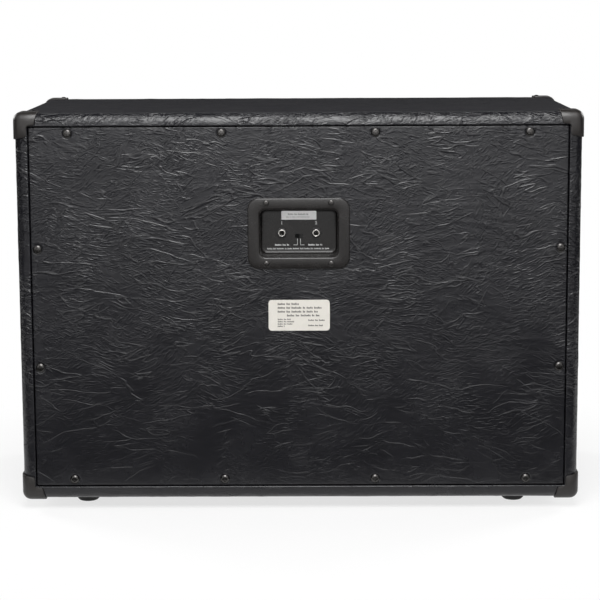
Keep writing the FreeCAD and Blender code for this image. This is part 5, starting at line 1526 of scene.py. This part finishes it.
def stage_plane(name, low, high, material):
    """A flat plane between two corners that share one of their coordinates."""
    bm = bmesh.new()
    bmesh.ops.create_grid(bm, x_segments=1, y_segments=1, size=0.5)
    mesh = bpy.data.meshes.new(name)
    spread = high - low
    place = Matrix.Translation((low + high) / 2)
    if spread.z == 0:
        place = place @ Matrix.Diagonal((spread.x, spread.y, 1, 1))
    elif spread.y == 0:
        place = place @ REARWARD @ Matrix.Diagonal((spread.x, spread.z, 1, 1))
    else:
        place = place @ RIGHTWARD @ Matrix.Diagonal((spread.y, spread.z, 1, 1))
    bmesh.ops.transform(bm, matrix=place, verts=bm.verts[:])
    bm.to_mesh(mesh)
    bm.free()
    mesh.materials.append(material)
    plane = bpy.data.objects.new(name, mesh)
    bpy.context.scene.collection.objects.link(plane)
    return plane


def dark_card(name, low, high, material):
    """A black card in the studio that only gloss shows."""
    card = stage_plane(name, Vector(low), Vector(high), material)
    card.visible_camera = False
    card.visible_diffuse = False
    card.visible_shadow = False
    card.visible_transmission = False


def make_camera():
    """A camera behind the cabinet, turned by its yaw, then its pitch, then its roll."""
    values = stage_values()
    ahead, right, up = Vector((0, -1, 0)), Vector((-1, 0, 0)), Vector((0, 0, 1))
    turn = Matrix.Rotation(-values.camera_yaw, 3, up)
    ahead, right = turn @ ahead, turn @ right
    turn = Matrix.Rotation(-values.camera_pitch, 3, right)
    ahead, up = turn @ ahead, turn @ up
    turn = Matrix.Rotation(-values.camera_roll, 3, ahead)
    right, up = turn @ right, turn @ up
    data = bpy.data.cameras.new("camera")
    data.lens = values.camera_lens
    data.sensor_width = SENSOR_MM
    data.shift_y = values.camera_shift
    data.clip_end = CAMERA_CLIP
    camera = bpy.data.objects.new("camera", data)
    rear = half_size("shell_covering").y
    place = Matrix((right, up, -ahead)).transposed().to_4x4()
    place.translation = (values.camera_side, rear + values.camera_distance, values.camera_height)
    camera.matrix_world = place
    bpy.context.scene.collection.objects.link(camera)
    bpy.context.scene.camera = camera


# Operators

class CABINET_OT_stage(bpy.types.Operator):
    """Sets up the floor, the studio light and the camera"""

    bl_idname = "cabinet.stage"
    bl_label = "Stage"

    def execute(self, context):
        context.scene.view_settings.view_transform = "Standard"
        values = stage_values()
        reach = Vector((FLOOR_REACH, FLOOR_REACH, 0.0))
        stage_plane("floor", -reach, reach, floor_material())
        make_world()
        for name, spot, target, wide, deep, power in LAMPS:
            lamp(name, spot, target, wide, deep, getattr(values, power))
        dark = even_finish("dark_card")
        for name, low, high in CARDS:
            dark_card(name, low, high, dark)
        make_camera()
        return {"FINISHED"}


class CABINET_OT_covering(bpy.types.Operator):
    """Covers the shell and the rear panel in creased leathercloth"""

    bl_idname = "cabinet.covering"
    bl_label = "Leathercloth"

    def execute(self, context):
        # A vector noise without a seed starts from the clock
        noise.seed_set(CREASE_SEED)
        material = leathercloth()
        make_rear_covering(material)
        make_shell_covering(material)
        return {"FINISHED"}


class CABINET_OT_corners(bpy.types.Operator):
    """Models the eight moulded corner protectors"""

    bl_idname = "cabinet.corners"
    bl_label = "Corner protectors"

    def execute(self, context):
        make_corner_caps(even_finish("corner_plastic"))
        return {"FINISHED"}


class CABINET_OT_socket_dish(bpy.types.Operator):
    """Models the socket dish with its sockets, switch and print"""

    bl_idname = "cabinet.socket_dish"
    bl_label = "Socket dish"

    def execute(self, context):
        make_socket_dish(even_finish("dish_plastic"))
        make_ferrules(even_finish("socket_metal"))
        black = even_finish("socket_plastic")
        make_nuts(black)
        make_slider(even_finish("switch_plastic"))
        dress(black, "jack_cases", "mode_switch_body")
        make_dish_print(even_finish("white_ink"))
        return {"FINISHED"}


class CABINET_OT_labels(bpy.types.Operator):
    """Finishes the two paper labels with plain print marks"""

    bl_idname = "cabinet.labels"
    bl_label = "Labels"

    def execute(self, context):
        hues = colours()
        dress(paper("rating_paper", hues.rating_paper), "rating_label")
        dress(paper("dish_paper", hues.dish_paper), "dish_label")
        make_label_print("rating_print", "rating_label", RATING_ROW_SHARES, even_finish("ink"))
        make_label_print("dish_label_print", "dish_label", DISH_ROW_SHARES, even_finish("grey_ink"))
        return {"FINISHED"}


class CABINET_OT_handles(bpy.types.Operator):
    """Models the recessed handles with their ribbed grips"""

    bl_idname = "cabinet.handles"
    bl_label = "Handles"

    def execute(self, context):
        plastic = even_finish("handle_plastic")
        rubber = even_finish("handle_grip")
        make_handle("left", LEFTWARD, plastic, rubber)
        make_handle("right", RIGHTWARD, plastic, rubber)
        return {"FINISHED"}


class CABINET_OT_grille(bpy.types.Operator):
    """Stretches the woven cloth over the grille frame and finishes the piping"""

    bl_idname = "cabinet.grille"
    bl_label = "Grille"

    def execute(self, context):
        make_grille_cloth(woven_cloth())
        dress(even_finish("piping"), "grille_piping")
        dress(even_finish("hook_and_loop"), "grille_fastener_pads")
        return {"FINISHED"}


class CABINET_OT_fasteners(bpy.types.Operator):
    """Models the rear screws and finishes the other fasteners and the feet"""

    bl_idname = "cabinet.fasteners"
    bl_label = "Fasteners and feet"

    def execute(self, context):
        black = even_finish("black_steel")
        make_screws("panel_screws", "rear_panel_screws", "rear_panel_covering", black)
        make_screws("dish_screws", "jack_dish_screws", "jack_dish", black)
        dress(black, "corner_screws", "handle_screws")
        dress(even_finish("bright_zinc"), "foot_screws", "foot_washers", "speaker_bolts", "tee_nuts")
        dress(even_finish("foot_rubber"), "rubber_feet")
        return {"FINISHED"}


class CABINET_OT_boards(bpy.types.Operator):
    """Finishes the wooden boards and battens"""

    bl_idname = "cabinet.boards"
    bl_label = "Boards"

    def execute(self, context):
        dress(layered_board(), "top_panel", "bottom_panel", "left_side_panel", "right_side_panel",
              "rear_panel")
        dress(even_finish("black_stain"), "front_cleats", "rear_cleats", "front_baffle", "grille_frame")
        return {"FINISHED"}


# Finishes of the pieces that the left and the right driver both have
SIDE_FINISHES = {
    "basket_paint": ("basket",),
    "ferrite": ("magnet",),
    "motor_steel": ("front_plate", "back_plate"),
    "cone_paper": ("cone", "cone_edge", "dust_cap"),
    "spider_cloth": ("spider",),
    "coil_copper": ("voice_coil",),
    "lead_sheath": ("speaker_lead",),
}


class CABINET_OT_drivers(bpy.types.Operator):
    """Finishes the two drivers and their leads"""

    bl_idname = "cabinet.drivers"
    bl_label = "Drivers and leads"

    def execute(self, context):
        for finish, pieces in SIDE_FINISHES.items():
            nodes = [f"{side}_{piece}" for side in ("left", "right") for piece in pieces]
            dress(even_finish(finish), *nodes)
        dress(even_finish("gasket_board"), "speaker_gaskets")
        dress(even_finish("terminal_brass"), "jack_terminals")
        dress(even_finish("terminal_board"), "speaker_terminals")
        return {"FINISHED"}


OPERATORS = (
    CABINET_OT_stage,
    CABINET_OT_covering,
    CABINET_OT_corners,
    CABINET_OT_socket_dish,
    CABINET_OT_labels,
    CABINET_OT_handles,
    CABINET_OT_grille,
    CABINET_OT_fasteners,
    CABINET_OT_boards,
    CABINET_OT_drivers,
)


class CABINET_PT_pieces(bpy.types.Panel):
    """Lists the cabinet's operators"""

    bl_idname = "CABINET_PT_pieces"
    bl_label = "Speaker cabinet"
    bl_space_type = "VIEW_3D"
    bl_region_type = "UI"
    bl_category = "Cabinet"

    def draw(self, context):
        for operator in OPERATORS:
            self.layout.operator(operator.bl_idname)


GROUPS = (
    ("cabinet_sizes", CabinetSizes),
    ("cabinet_colours", CabinetColours),
    ("cabinet_stage", CabinetStage),
)


def register():
    for name, group in GROUPS:
        bpy.utils.register_class(group)
        setattr(bpy.types.Scene, name, PointerProperty(type=group))
    for item in (*OPERATORS, CABINET_PT_pieces):
        bpy.utils.register_class(item)


def unregister():
    for item in reversed((*OPERATORS, CABINET_PT_pieces)):
        bpy.utils.unregister_class(item)
    for name, group in reversed(GROUPS):
        delattr(bpy.types.Scene, name)
        bpy.utils.unregister_class(group)


def main():
    register()
    bpy.ops.cabinet.stage()
    bpy.ops.cabinet.covering()
    bpy.ops.cabinet.corners()
    bpy.ops.cabinet.socket_dish()
    bpy.ops.cabinet.labels()
    bpy.ops.cabinet.handles()
    bpy.ops.cabinet.grille()
    bpy.ops.cabinet.fasteners()
    bpy.ops.cabinet.boards()
    bpy.ops.cabinet.drivers()


if __name__ == "__main__":
    main()
